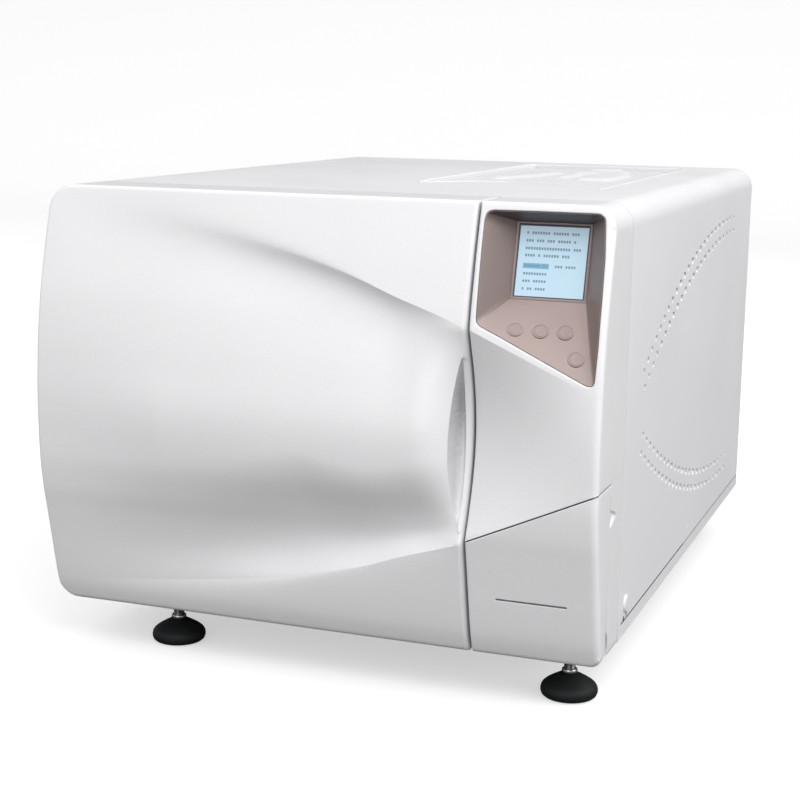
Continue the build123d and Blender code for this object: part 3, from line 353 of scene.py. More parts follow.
# ============================================================ meshes
def add_object(name, verts, faces, body, slot, finishes=None, sharp=32, face_slots=None,
               replaces=(), thickness=None):
    """Object from casing mm; finishes default to the slot's own. thickness adds a wall."""
    mesh = bpy.data.meshes.new(name)
    mesh.from_pydata(world(verts).tolist(), [], [tuple(int(k) for k in face) for face in faces])
    mesh.validate()
    for polygon in mesh.polygons:
        polygon.use_smooth = True
    mesh.set_sharp_from_angle(angle=math.radians(sharp))
    for finish_name in finishes or (slot,):
        mesh.materials.append(FINISHES[finish_name])
    if face_slots is not None:
        mesh.polygons.foreach_set("material_index", list(face_slots)[:len(mesh.polygons)])
    mesh.update()
    o = bpy.data.objects.new(name, mesh)
    scene.collection.objects.link(o)
    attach(o, body)
    if replaces:
        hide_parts(*replaces)
    if thickness:
        add_wall_thickness(o, thickness)


def add_wall_thickness(o, thickness):
    """Open edges are marked sharp so that the rim does not bend the shading."""
    mesh = o.data
    edge_of_corner = np.zeros(len(mesh.loops), int)
    mesh.loops.foreach_get("edge_index", edge_of_corner)
    uses = np.bincount(edge_of_corner, minlength=len(mesh.edges))
    for i in np.where(uses < 2)[0]:
        mesh.edges[int(i)].use_edge_sharp = True
    solidify = o.modifiers.new("wall", "SOLIDIFY")
    solidify.thickness = thickness / 1000
    solidify.offset = -1


def grid_faces(rows, cols, wrap=False, flip=False):
    """Quads over points stored row by row; wrap closes each row."""
    faces = []
    for row in range(rows - 1):
        for col in range(cols if wrap else cols - 1):
            a, b = row * cols + col, row * cols + (col + 1) % cols
            faces.append((a, a + cols, b + cols, b) if flip else (a, b, b + cols, a + cols))
    return faces


class Part:
    """Collects pieces into one mesh, in casing mm."""

    def __init__(self):
        self.points, self.faces, self.slots = [], [], []

    def add(self, new_points, faces, slot=0):
        start = len(self.points)
        self.points += [tuple(map(float, p)) for p in new_points]
        self.faces += [tuple(start + int(k) for k in face) for face in faces]
        self.slots += [slot] * len(faces)

    def grid(self, new_points, cols, wrap=False, flip=False):
        self.add(new_points, grid_faces(len(new_points) // cols, cols, wrap, flip))

    def box(self, x, y, z, chamfer):
        """Box between pairs of coordinates, with chamfered edges."""
        (x0, x1), (y0, y1), (z0, z1) = x, y, z
        c = chamfer
        corners = []
        for height, k in ((z0, c), (z0 + c, 0), (z1 - c, 0), (z1, c)):
            q = c + k
            ring = [(x0 + q, y0 + k), (x1 - q, y0 + k), (x1 - k, y0 + q), (x1 - k, y1 - q),
                    (x1 - q, y1 - k), (x0 + q, y1 - k), (x0 + k, y1 - q), (x0 + k, y0 + q)]
            corners += [(*p, height) for p in ring]
        caps = [tuple(range(7, -1, -1)), tuple(range(24, 32))]
        self.add(corners, grid_faces(4, 8, wrap=True) + caps)

    def lathe(self, profile, origin, axis, sides, slot=0, cap=True, flute=None):
        """Turns (radius, height) about an axis; flute(radius, angle) changes the radius."""
        a = np.array(axis, float)
        a /= np.linalg.norm(a)
        u = np.cross(a, [0, 0, 1.0] if abs(a[2]) < 0.9 else [1.0, 0, 0])
        u /= np.linalg.norm(u)
        w = np.cross(a, u)
        turned = []
        for radius, height in profile:
            for k in range(sides):
                t = 2 * math.pi * k / sides
                r = flute(radius, t) if flute else radius
                turned.append(np.array(origin) + a * height
                              + (u * math.cos(t) + w * math.sin(t)) * r)
        faces = grid_faces(len(profile), sides, wrap=True)
        if cap:
            last = (len(profile) - 1) * sides
            faces += [tuple(range(sides - 1, -1, -1)), tuple(range(last, last + sides))]
        self.add(turned, faces, slot)

    def tile(self, corners, lift, slot):
        """Thin raised quad without an underside."""
        sides = [(0, 1, 5, 4), (1, 2, 6, 5), (2, 3, 7, 6), (3, 0, 4, 7)]
        self.add(corners + [p + lift for p in corners], [(4, 5, 6, 7)] + sides, slot)

    def build(self, name, body, slot, **options):
        add_object(name, self.points, self.faces, body, slot, face_slots=self.slots, **options)


def triangulate(places, edges):
    result = delaunay_2d_cdt([Vector((float(p[0]), float(p[1]))) for p in places],
                             [tuple(map(int, e)) for e in edges], [], 0, 1e-4)
    return np.array([[v[0], v[1]] for v in result[0]]), [tuple(face) for face in result[2]]


def closed_edges(start, count):
    return [(start + i, start + (i + 1) % count) for i in range(count)]


def face_centres(verts, faces):
    return np.array([verts[list(face)].mean(0) for face in faces])


def panel(outer, outer_radii, creases, front_y, step, holes=(), extra=None, offset=0.7):
    """Triangulated front skin over an x, z outline with rounded edges.

    outer_radii gives a radius per outline edge, holes are (outline, radius), creases are
    lines kept in the mesh with a guard line offset to either side. Returns verts, faces
    and the vertex indices of each outline.
    """
    loops = [clean_loop(outer)] + [clean_loop(hole) for hole, _ in holes]
    loop_radii = [outer_radii(loops[0])]
    loop_radii += [np.full(len(loop), radius) for loop, (_, radius) in zip(loops[1:], holes)]
    starts = np.concatenate(loops)
    ends = np.concatenate([np.roll(loop, -1, 0) for loop in loops])
    radii = np.concatenate(loop_radii)
    classes = [(radius, np.abs(radii - radius) < 1e-3) for radius in np.unique(radii.round(3))]

    def border(places):
        return segment_distance(places, starts, ends)

    def in_panel(places):
        result = inside(places, loops[0])
        for hole in loops[1:]:
            result &= ~inside(places, hole)
        return result

    edges, count = [], 0
    for loop in loops:
        edges += closed_edges(count, len(loop))
        count += len(loop)

    lines = [np.empty((0, 2))]
    for crease in creases:
        kept = np.where(in_panel(crease) & (border(crease) > 0.45))[0]
        edges += [(count + k, count + k + 1) for k in np.where(np.diff(kept) == 1)[0]]
        along = np.gradient(crease, axis=0)
        along /= np.maximum(np.linalg.norm(along, axis=1), 1e-9)[:, None]
        across = points(-along[:, 1], along[:, 0])
        lines.append(crease[kept])
        for shift in (-offset, offset):
            guard = crease + across * shift
            guard = guard[in_panel(guard)]
            lines.append(guard[border(guard) > 0.7])
        count += sum(len(line) for line in lines[-3:])
    lines = np.concatenate(lines)

    # Rows of points within the edge radii, and one just beyond them
    rings = []
    insets = [1 - math.cos(math.radians(angle)) for angle in (18, 36, 54, 72, 90)] + [1.45]
    for i, (loop, radius) in enumerate(zip(loops, loop_radii)):
        into_panel = -inward(loop) if i else inward(loop)
        radius = 0.5 * (radius + np.roll(radius, 1))
        for inset in insets:
            depth = radius * inset
            ring = loop + into_panel * depth[:, None]
            ok = in_panel(ring)
            ring, depth = ring[ok], depth[ok]
            ring = ring[border(ring) > depth * 0.96 - 0.01]
            rings.append(ring[point_distance(ring, lines) > 0.22])
    rings = np.concatenate(rings)
    # One point per cell where the rings pile up
    cells = np.round(rings / 0.16).astype(int)
    rings = rings[np.sort(np.unique(cells, axis=0, return_index=True)[1])]

    low, high = loops[0].min(0), loops[0].max(0)
    fill = staggered(np.arange(low[0] + step * 0.5, high[0], step),
                     np.arange(low[1] + step * 0.4, high[1], step * 0.866), step / 2)
    if extra is not None:
        fill = np.concatenate([fill, extra])
    fill = fill[in_panel(fill)]
    clear = np.full(len(fill), 1e9)
    for radius, k in classes:
        clear = np.minimum(clear, segment_distance(fill, starts[k], ends[k]) - 1.45 * radius)
    fill = fill[(clear > min(step, 1.2) * 0.4) & (border(fill) > 0.5)]
    fill = fill[point_distance(fill, lines) > 0.8]

    flat, faces = triangulate(np.concatenate(loops + [lines, rings, fill]), edges)
    faces = [face for face, ok in zip(faces, in_panel(face_centres(flat, faces))) if ok]
    drop = np.zeros(len(flat))
    for radius, k in classes:
        drop = np.maximum(drop, edge_drop(segment_distance(flat, starts[k], ends[k]), radius))
    verts = points(flat[:, 0], front_y(flat[:, 0], flat[:, 1]) + drop, flat[:, 1])

    # The triangulation keeps the order of the outlines, except where it merges points
    indices, count = [], 0
    for loop in loops:
        index = np.arange(count, count + len(loop))
        for k in np.where(np.linalg.norm(flat[index] - loop, axis=1) > 0.05)[0]:
            index[k] = int(np.argmin(((flat - loop[k]) ** 2).sum(1)))
        indices.append(index)
        count += len(loop)
    return verts, faces, indices


def add_wall(verts, faces, outline, rows, move=None, cut=None, flip=False):
    """Wall running back from a panel's outline.

    rows give y, as a number or a function of the outline's points; move(places, outward)
    shifts a row; cut(centre) leaves a quad out.
    """
    base = np.array([verts[i] for i in outline])
    verts = [tuple(p) for p in verts]
    faces = list(faces)
    outward = -inward(base[:, [0, 2]])
    previous = list(outline)
    n = len(base)
    for row in rows:
        places = points(base[:, 0], row(base) if callable(row) else float(row), base[:, 2])
        if move:
            move(places, outward)
        current = list(range(len(verts), len(verts) + n))
        verts += [tuple(p) for p in places]
        for i in range(n):
            j = (i + 1) % n
            quad = (previous[i], current[i], current[j], previous[j])
            if not (cut and cut(np.mean([verts[k] for k in quad], axis=0))):
                faces.append(quad[::-1] if flip else quad)
        previous = current
    return verts, faces


def toward(y, share):
    """Wall row part of the way from the front to y."""
    return lambda base: base[:, 1] + (y - base[:, 1]) * share


def behind(distance):
    """Wall row at a distance behind the front."""
    return lambda base: base[:, 1] + distance


def edge_middles(loop):
    return (0.5 * (loop + np.roll(loop, -1, 0))).T


def pull_in(places, outward, inset):
    """Moves wall points inward in x and z."""
    places[:, 0] -= outward[:, 0] * inset
    places[:, 2] -= outward[:, 1] * inset


# ============================================================ finishes
FINISHES = {}


def add_node(tree, kind, inputs=None, **settings):
    """Adds a node; an input given as a socket is linked, any other value is set."""
    new = tree.nodes.new(kind)
    for key, value in settings.items():
        setattr(new, key, value)
    for key, value in (inputs or {}).items():
        if isinstance(value, bpy.types.NodeSocket):
            tree.links.new(value, new.inputs[key])
        else:
            new.inputs[key].default_value = value
    return new


def calculate(tree, operation, a, b, clamp=False):
    return add_node(tree, "ShaderNodeMath", {0: a, 1: b}, operation=operation,
                    use_clamp=clamp).outputs[0]


def mix_colour(tree, factor, a, b):
    return add_node(tree, "ShaderNodeMix", {0: factor, 6: a, 7: b}, data_type="RGBA").outputs[2]


def rgba(colour, factor=1.0):
    return (*np.clip(np.array(colour) * factor, 0, 1), 1)


def add_specks(tree, base, colour, fine, amount):
    ramp = add_node(tree, "ShaderNodeValToRGB", {0: fine})
    ramp.color_ramp.elements[0].position = 0.56
    ramp.color_ramp.elements[1].position = 0.72
    factor = calculate(tree, "MULTIPLY", ramp.outputs[0], amount)
    return mix_colour(tree, factor, base, rgba(colour, 0.55))


def add_corner_shade(tree, base, colour, amount):
    """Painted shade: darker in tight corners, where an occlusion lookup finds them closed in."""
    occlusion = add_node(tree, "ShaderNodeAmbientOcclusion", {"Distance": 0.012}, samples=6)
    closed = calculate(tree, "SUBTRACT", 1.0, occlusion.outputs["AO"])
    factor = calculate(tree, "MULTIPLY", closed, amount)
    return mix_colour(tree, factor, base, rgba(colour, 0.35))


def add_wear(tree, base, worn, slow, amount):
    """Another colour where a bevelled normal leaves the true one: along edges."""
    bevel = add_node(tree, "ShaderNodeBevel", {"Radius": 0.0012}, samples=4)
    geometry = add_node(tree, "ShaderNodeNewGeometry")
    dot = add_node(tree, "ShaderNodeVectorMath",
                   {0: bevel.outputs[0], 1: geometry.outputs["Normal"]},
                   operation="DOT_PRODUCT")
    edge = calculate(tree, "SUBTRACT", 1.0, dot.outputs["Value"])
    patchy = calculate(tree, "MULTIPLY", edge, slow)
    factor = calculate(tree, "MULTIPLY", patchy, 9.0 * amount, clamp=True)
    return mix_colour(tree, factor, base, rgba(worn))


def finish(name, colour, rough, grain=900.0, bump=0.06, var=0.04, coarse=35.0, rough_var=0.08,
           metal=0.0, wear=None, wear_amount=0.35, coat=0.0, speck=0.0, stretch=(1, 1, 1),
           corner_shade=0.0, specular=0.5, glow=0.0):
    """Finish with slow colour and roughness variation and fine bump.

    coarse and grain are the scales of the slow and fine noise, var and rough_var the
    spread of colour and roughness, stretch scales the fine noise per axis.
    """
    material = bpy.data.materials.new(name)
    material.use_nodes = True
    tree = material.node_tree
    tree.nodes.clear()
    place = add_node(tree, "ShaderNodeTexCoord").outputs["Object"]
    stretched = add_node(tree, "ShaderNodeMapping", {"Vector": place, "Scale": stretch})
    slow = add_node(tree, "ShaderNodeTexNoise",
                    {"Vector": place, "Scale": coarse, "Detail": 4}).outputs["Fac"]
    fine = add_node(tree, "ShaderNodeTexNoise",
                    {"Vector": stretched.outputs[0], "Scale": grain,
                     "Detail": 3}).outputs["Fac"]
    base = mix_colour(tree, slow, rgba(colour, 1 - var), rgba(colour, 1 + var * 0.6))
    if speck:
        base = add_specks(tree, base, colour, fine, speck)
    # Painted shade in tight corners.
    if corner_shade:
        base = add_corner_shade(tree, base, colour, corner_shade)
    if wear:
        base = add_wear(tree, base, wear, slow, wear_amount)
    roughness = add_node(tree, "ShaderNodeMapRange",
                         {"Value": slow, "To Min": max(rough - rough_var, 0.02),
                          "To Max": min(rough + rough_var, 1.0)})
    relief = add_node(tree, "ShaderNodeBump",
                      {"Strength": bump, "Distance": 0.0004, "Height": fine})
    inputs = {"Base Color": base, "Roughness": roughness.outputs[0],
              "Normal": relief.outputs[0], "Metallic": metal, "Specular IOR Level": specular}
    if coat:
        inputs.update({"Coat Weight": coat, "Coat Roughness": 0.12})
    if glow:
        inputs.update({"Emission Color": base, "Emission Strength": glow})
    surface = add_node(tree, "ShaderNodeBsdfPrincipled", inputs)
    add_node(tree, "ShaderNodeOutputMaterial", {0: surface.outputs[0]})
    material.diffuse_color = (*colour, 1)
    FINISHES[name] = material


def shade_by_facing(name, down, up, z_range, left, right, x_range):
    """Painted light and shade: scales a finish's colour by the way its faces look, across ranges
    of the normal.
    """
    tree = FINISHES[name].node_tree
    surface = tree.nodes["Principled BSDF"]
    base = surface.inputs["Base Color"].links[0].from_socket
    geometry = add_node(tree, "ShaderNodeNewGeometry")
    normal = add_node(tree, "ShaderNodeSeparateXYZ", {0: geometry.outputs["Normal"]})
    factors = []
    for axis, (start, end), low, high in (("Z", z_range, down, up), ("X", x_range, left, right)):
        ranged = add_node(tree, "ShaderNodeMapRange",
                          {"Value": normal.outputs[axis], "From Min": start, "From Max": end,
                           "To Min": low, "To Max": high}, interpolation_type="SMOOTHSTEP")
        factors.append(ranged.outputs[0])
    factor = calculate(tree, "MULTIPLY", *factors)
    scaled = add_node(tree, "ShaderNodeVectorMath", {0: base, "Scale": factor},
                      operation="SCALE")
    tree.links.new(scaled.outputs[0], surface.inputs["Base Color"])


def make_finishes():
    finish("painted_steel", (0.80, 0.80, 0.815), rough=0.42, grain=1400, bump=0.10, speck=0.02,
           var=0.02, wear=(0.86, 0.86, 0.87), wear_amount=0.2, coarse=9)
    # The front shell gets painted shade in its tight corners: the grip, the gap edges and the
    # seam.
    finish("front_shell", (0.858, 0.858, 0.870), rough=0.34, bump=0.14, speck=0.13, var=0.018,
           rough_var=0.05, wear=(0.92, 0.92, 0.93), wear_amount=0.15, coarse=11, coat=0.12,
           corner_shade=0.30)
    # Painted shade: a darker copy of the front shell for the grip's hollow, with stronger corner
    # darkening.
    finish("grip_painted_shade", (0.80, 0.80, 0.81), rough=0.40, bump=0.14, speck=0.13, var=0.02,
           rough_var=0.05, wear=(0.90, 0.90, 0.91), wear_amount=0.15, coarse=11, corner_shade=0.6)
    # Painted light and shade on the grip: faces turned down or to the right darker, faces turned
    # up or to the left lighter.
    shade_by_facing("grip_painted_shade", down=0.78, up=1.08, z_range=(-0.25, 0.15),
                    left=1.06, right=0.84, x_range=(-0.35, 0.55))
    finish("bezel", (0.335, 0.262, 0.245), rough=0.42, grain=1200, bump=0.12, var=0.06,
           coarse=30, wear=(0.50, 0.42, 0.40))
    # Painted light and shade on the bezel: faces turned up much lighter, faces turned down much
    # darker, and all of it a little darker.
    shade_by_facing("bezel", down=0.33, up=1.46, z_range=(-0.356, 0.62),
                    left=0.86, right=0.86, x_range=(-0.6, 0.6))
    finish("display_glass", (0.47, 0.655, 0.775), rough=0.16, grain=700, bump=0.01, var=0.03,
           rough_var=0.03, coarse=20, glow=0.16)
    finish("display_body", (0.05, 0.06, 0.075), rough=0.5, bump=0.1, wear=(0.2, 0.2, 0.2))
    finish("button", (0.385, 0.30, 0.28), rough=0.38, grain=1100, bump=0.08, var=0.05,
           wear=(0.62, 0.55, 0.52), wear_amount=0.4)
    finish("black_rubber", (0.009, 0.010, 0.011), rough=0.62, bump=0.25, var=0.25,
           rough_var=0.12, specular=0.28, wear=(0.035, 0.037, 0.04), wear_amount=0.4)
    finish("stud_steel", (0.24, 0.245, 0.25), rough=0.28, metal=1.0, grain=600, bump=0.12,
           var=0.12, rough_var=0.12, wear=(0.7, 0.7, 0.7))
    finish("stainless", (0.62, 0.62, 0.61), rough=0.30, metal=1.0, grain=500, bump=0.15,
           stretch=(1, 0.05, 1), var=0.08, rough_var=0.10, wear=(0.8, 0.8, 0.8))
    # The vessel gets painted shade in its tight corners.
    finish("vessel_steel", (0.50, 0.50, 0.49), rough=0.36, metal=1.0, grain=400, bump=0.2,
           var=0.15, rough_var=0.12, wear=(0.7, 0.7, 0.68), corner_shade=0.4)
    finish("insulation", (0.72, 0.70, 0.64), rough=0.9, grain=260, bump=0.9, var=0.2,
           wear=(0.6, 0.58, 0.5))
    finish("gasket", (0.55, 0.24, 0.16), rough=0.55, grain=500, bump=0.15, var=0.1,
           wear=(0.6, 0.35, 0.3))
    finish("brass", (0.63, 0.46, 0.18), rough=0.3, metal=1.0, grain=500, bump=0.12, var=0.12,
           wear=(0.8, 0.66, 0.36))
    finish("copper_pipe", (0.64, 0.33, 0.20), rough=0.32, metal=1.0, grain=500, bump=0.1,
           var=0.15, wear=(0.8, 0.5, 0.36))
    finish("tank_plastic", (0.70, 0.74, 0.77), rough=0.45, grain=700, bump=0.15, var=0.05,
           wear=(0.82, 0.84, 0.86))
    finish("tray_plastic", (0.70, 0.70, 0.715), rough=0.6, specular=0.22, grain=1200,
           bump=0.08, var=0.02, coarse=14, wear=(0.92, 0.92, 0.92), wear_amount=0.2)
    finish("circuit_board", (0.03, 0.16, 0.07), rough=0.45, grain=300, bump=0.5, var=0.35,
           wear=(0.2, 0.35, 0.2))
    finish("dark_plastic", (0.035, 0.036, 0.04), rough=0.5, grain=800, bump=0.2, var=0.2,
           wear=(0.12, 0.12, 0.12))
    finish("grey_plastic", (0.38, 0.39, 0.40), rough=0.5, grain=800, bump=0.15, var=0.08,
           wear=(0.5, 0.5, 0.52))
    finish("aluminium", (0.66, 0.67, 0.68), rough=0.38, metal=1.0, grain=500, bump=0.15,
           var=0.08, wear=(0.85, 0.85, 0.86))
    finish("paper", (0.86, 0.85, 0.82), rough=0.85, grain=1500, bump=0.2, var=0.03,
           wear=(0.9, 0.9, 0.88))
    finish("blue_knob", (0.03, 0.13, 0.42), rough=0.4, bump=0.1, var=0.1,
           wear=(0.2, 0.35, 0.6))
    finish("red_knob", (0.50, 0.035, 0.03), rough=0.4, bump=0.1, var=0.1,
           wear=(0.7, 0.3, 0.28))
    finish("navy", (0.035, 0.045, 0.09), rough=0.35, bump=0.05, var=0.1,
           wear=(0.1, 0.12, 0.2))
    finish("screen_mark", (0.17, 0.30, 0.43), rough=0.3, grain=700, bump=0.02, var=0.08)
    finish("screen_bar", (0.17, 0.42, 0.60), rough=0.3, grain=700, bump=0.02, var=0.05,
           glow=0.1)
    # Painted shadow: near-black for strips and patches standing in for the shade in gaps, slots
    # and vents.
    finish("painted_shadow", (0.05, 0.05, 0.055), rough=0.8, grain=500, bump=0.2, var=0.2)
    finish("bright_steel", (0.50, 0.50, 0.50), rough=0.20, metal=1.0, grain=600, bump=0.08,
           var=0.05, wear=(0.9, 0.9, 0.9))


make_finishes()
cad_slots = {part["node"]: part["material_slot"] for part in frame["record"]["subparts"]}
for name, o in frame["nodes"].items():
    o.data.materials.clear()
    o.data.materials.append(FINISHES[cad_slots[name]])


# ============================================================ door
def door_creases():
    x = np.linspace(-246, DOOR_RIGHT - 0.1, 150)
    z = np.linspace(GRIP_LOW + 1, GRIP_HIGH - 1, 64)
    return [points(x, curve(x, UPPER_CREASE)), points(x, curve(x, LOWER_CREASE)),
            points(curve(z, GRIP_EDGE), z), points(curve(z, GRIP_RIM), z),
            points(BEVEL_X, np.linspace(LIP_Z + 1.5, 99.0, 34)),
            points(BEVEL_X, np.linspace(243.5, 297.0, 18))]


def door_radii(loop):
    x, z = edge_middles(loop)
    return np.select([z < LIP_Z + 0.4, x > DOOR_RIGHT - 0.1], [3.5, 3.0], 2.6)


def door_move(places, outward):
    """Rounds the rear edges, widely on the left; behind the lip the underside rises."""
    y = places[:, 1].copy()
    leftward = np.clip(-outward[:, 0], 0, 1)
    downward = np.clip(-outward[:, 1], 0, 1)
    places[:, 0] += edge_drop(DOOR_BACK - y, 12.0) * leftward
    places[:, 2] += (WALL_FOOT - LIP_Z) * downward * np.clip((y - 11) / 7, 0, 1) ** 0.6
    pull_in(places, outward, np.where(leftward > 0.5, 0, edge_drop(DOOR_BACK - y, REAR_RADIUS)))


def door_cut(centre):
    x, y, z = centre
    if x < -226 and y > 37 and any(low < z < high for low, high in DOOR_WINDOWS):
        return True
    return x > 136 and BOLT_Y[0] < y < BOLT_Y[1] and DOOR_BOLT_Z[0] < z < DOOR_BOLT_Z[1]


def build_door():
    outline = rounded([(-HALF_WIDTH, LIP_Z), (DOOR_RIGHT, LIP_Z), (DOOR_RIGHT, CASE_TOP),
                       (-HALF_WIDTH, CASE_TOP)], [17, 1.2, 1.2, 20], 2.6)
    outline = with_z(outline, [z for window in DOOR_WINDOWS for z in window], -HALF_WIDTH)
    outline = with_z(outline, DOOR_BOLT_Z, DOOR_RIGHT)
    grip_fill = staggered(np.arange(118.0, 137, 0.8), np.arange(100, 252, 2.0), 0.4)
    grip_fill = grip_fill[grip_fill[:, 0] > curve(grip_fill[:, 1], GRIP_EDGE) - 3.5]
    verts, faces, outlines = panel(outline, door_radii, door_creases(), door_y, 3.2,
                                   extra=grip_fill, offset=0.55)

    # The hollow runs in behind the belly's edge
    x, z = verts[:, 0], verts[:, 2]
    edge, rim = curve(z, GRIP_EDGE), curve(z, GRIP_RIM)
    t = (x - edge) / np.maximum(rim - edge, 0.6)
    undercut = (1.5 * grip_swell(z) * np.clip((rim - edge - 3.2) / 3, 0, 1)
                * np.sin(np.pi * np.clip(t / 0.7, 0, 1)))
    in_hollow = (z > GRIP_LOW) & (z < GRIP_HIGH) & (t > 0) & (t < 0.7)
    verts[:, 0] -= np.where(in_hollow, undercut, 0)

    # Faces of the hollow take the darker copy of the shell finish: painted shade in the grip
    x, y, z = face_centres(verts, faces).T
    edge, rim = curve(z, GRIP_EDGE), curve(z, GRIP_RIM)
    t = (x - edge) / np.maximum(rim - edge, 0.6)
    grip = ((z > GRIP_LOW) & (z < GRIP_HIGH) & (t > -0.25) & (t < 1.0)
            & (y > door_plain(edge, z) + 0.25)).astype(int)

    rows = [toward(11, 0.3), toward(11, 0.7), 11, 12.5, 14.5, 18, 24, 31, 37, 45, 48, 50.5, 53,
            55, 56.6, 57.6, DOOR_BACK]
    verts, faces = add_wall(verts, faces, outlines[0], rows, door_move, door_cut)
    add_object("door_shell", verts, faces, "door", "front_shell", ("front_shell", "grip_painted_shade"),
               sharp=26, face_slots=list(grip) + [0] * (len(faces) - len(grip)),
               replaces=("door_cover",), thickness=2.4)


build_door()

# ============================================================ fascia
# Console opening: x, z, clockwise from the upper left, before softening
CONSOLE = np.array([
    (148.8, 356.9), (186.9, 357.2), (234.4, 357.2), (238.6, 354.2), (239.4, 349),
    (241.5, 323.7), (242.1, 294.2), (242.2, 257.2), (241.2, 232.0), (239.8, 228.6),
    (235, 228.6), (197.8, 245.6), (164.8, 260.8), (146.4, 268.7), (143.9, 271.8),
    (143.6, 281), (143.1, 318.8), (142.8, 350), (144.4, 355.2)])
OPENING = soften(CONSOLE[::-1], 1.0, 1.5)[::2]


def fascia_low(x):
    return seam_z(x) + SEAM_HALF


def flap_top(x):
    return seam_z(x) - SEAM_HALF


def right_radii(loop, plain, left, seam, tolerance):
    """Edge radii of fascia and flap: seam, right side, left side, then all others."""
    x, z = edge_middles(loop)
    return np.select([np.abs(z - seam(x)) < tolerance, x > HALF_WIDTH - 0.1, x < left + 0.1],
                     [0.6, SIDE_RADIUS, 1.8], plain)


def fascia_move(places, outward):
    pull_in(places, outward, edge_drop(FASCIA_BACK - places[:, 1], REAR_RADIUS))


def fascia_cut(centre):
    """Lock bolt window, and the rear part of the wall along the seam."""
    x, y, z = centre
    if x < 140 and BOLT_Y[0] < y < BOLT_Y[1] and FASCIA_BOLT_Z[0] < z < FASCIA_BOLT_Z[1]:
        return True
    return y > 48 and abs(z - fascia_low(x)) < 0.4 and 139.5 < x < HALF_WIDTH - 0.5


def build_fascia():
    outline = rounded([(FASCIA_LEFT, fascia_low(FASCIA_LEFT)),
                       (HALF_WIDTH, fascia_low(HALF_WIDTH)), (HALF_WIDTH, CASE_TOP),
                       (FASCIA_LEFT, CASE_TOP)], [0.5, 0.5, 20, 1.0], 2.4)
    outline = with_z(outline, FASCIA_BOLT_Z, FASCIA_LEFT)
    x = np.linspace(139.4, 247.2, 60)
    verts, faces, outlines = panel(
        outline, lambda loop: right_radii(loop, 2.6, FASCIA_LEFT, fascia_low, 0.6),
        [points(x, rim_z(x))], fascia_y, 2.6, holes=[(OPENING, 1.1)])
    rows = [toward(FASCIA_FRONT, 0.12), toward(FASCIA_FRONT, 0.5), FASCIA_FRONT, 31, 45, 56,
            58.6, 59.3, FASCIA_BACK]
    verts, faces = add_wall(verts, faces, outlines[0], rows, fascia_move, fascia_cut)
    verts, faces = add_wall(verts, faces, outlines[1], [behind(1.2), behind(3.2)], flip=True)
    add_object("fascia_shell", verts, faces, "chassis", "front_shell", sharp=26,
               replaces=("fascia_panel",), thickness=2.2)


def notch_wave(z):
    """Outline of the finger notch in the right side, 0 to 1."""
    return np.sin(np.pi * np.clip((z - 108) / 15, 0, 1))


def build_skirt():
    """Walls of the fascia behind the flap, down the left, along the foot, up the right."""
    corner = np.radians(np.linspace(-84, 0, 11))
    right_z = np.concatenate([[7.0, 10.0, 13.0, 15.5, 18.0, 20.0, 21.6],
                              np.arange(23, 107, 6.0), np.linspace(108, 123, 16),
                              [128, 134, 139, fascia_low(HALF_WIDTH)]])
    path = np.concatenate([
        [(FASCIA_LEFT, fascia_low(FASCIA_LEFT))],
        points(FASCIA_LEFT, np.linspace(80, WALL_FOOT, 14)),
        points(np.linspace(146, 234.5, 14), WALL_FOOT),
        [(236.6, -2.6), (238.0, LIP_Z)],
        points(HALF_WIDTH - 9 + 9 * np.cos(corner), LIP_Z + 9 + 9 * np.sin(corner)),
        points(HALF_WIDTH, right_z)])
    x, z = path.T
    front = FASCIA_FRONT + np.where(x > HALF_WIDTH - 0.01, 18.2 * notch_wave(z), 0)
    # Clear of the circle that the flap swings through
    swing = HINGE_Y + np.sqrt(np.maximum(15.5 ** 2 - (z - HINGE_Z) ** 2, 0))
    front = np.where(z < 22.3, np.maximum(front, swing), front)
    along = np.gradient(path, axis=0)
    along /= np.linalg.norm(along, axis=1)[:, None]
    outward = points(along[:, 1], -along[:, 0])
    rows = []
    for t in (0, 0.15, 0.4, 0.7, 0.9, 0.965, 1.0):
        row = points(x, front + (FASCIA_BACK - front) * t, z)
        fascia_move(row, outward)
        rows.append(row)
    part = Part()
    part.grid(np.concatenate(rows), len(path), flip=True)
    part.build("fascia_skirt", "chassis", "front_shell", sharp=30, thickness=2.2)


def build_finger_notch():
    """Shallow hollow behind the notch."""
    front = 17.2
    dished = []
    for up in np.linspace(0, 1, 17):
        z = 107.2 + 16.6 * up
        back = 18.9 + 18.8 * notch_wave(z) + 0.5
        for t in np.linspace(0, 1, 13):
            dip = 0.15 + 2.3 * math.sin(math.pi * up) * math.sqrt(max(1 - t ** 2.2, 0))
            dished.append((HALF_WIDTH - 0.25 - dip, front + (back - front) * t, z))
    part = Part()
    part.grid(dished, 13)
    part.build("finger_notch", "chassis", "front_shell", sharp=40, thickness=0.8)


def build_bay_lining():
    """Roof and rear wall of the bay behind the flap."""
    xs = np.linspace(141.5, 245.2, 28)
    tops = seam_z(xs) + 1.2
    fronts = fascia_y(xs, tops) + 3.0
    part = Part()
    part.grid([(x, y + (46.5 - y) * t, z) for x, y, z in zip(xs, fronts, tops)
               for t in np.linspace(0, 1, 10)], 10)
    part.grid([(x, 46.0, 3.4 + (z - 3.4) * t) for x, z in zip(xs, tops)
               for t in np.linspace(0, 1, 14)], 14, flip=True)
    part.build("bay_lining", "chassis", "front_shell", sharp=30, thickness=1.6)


def build_flap_lugs():
    part = Part()
    for x0, x1 in ((146.5, 149.5), (236.0, 239.0)):
        part.lathe([(4.6, 0), (5.0, 0.4), (5.0, 2.6), (4.6, 3.0)], (x0, HINGE_Y, HINGE_Z),
                   (1, 0, 0), 28)
        part.box((x0, x1), (9.5, 40), (9.4, 17.2), chamfer=0.4)
        part.box((x0, x1), (26, 46.5), (2.6, 12), chamfer=0.4)
    part.build("flap_lugs", "chassis", "front_shell")


build_fascia()
build_skirt()
build_finger_notch()
build_bay_lining()
build_flap_lugs()


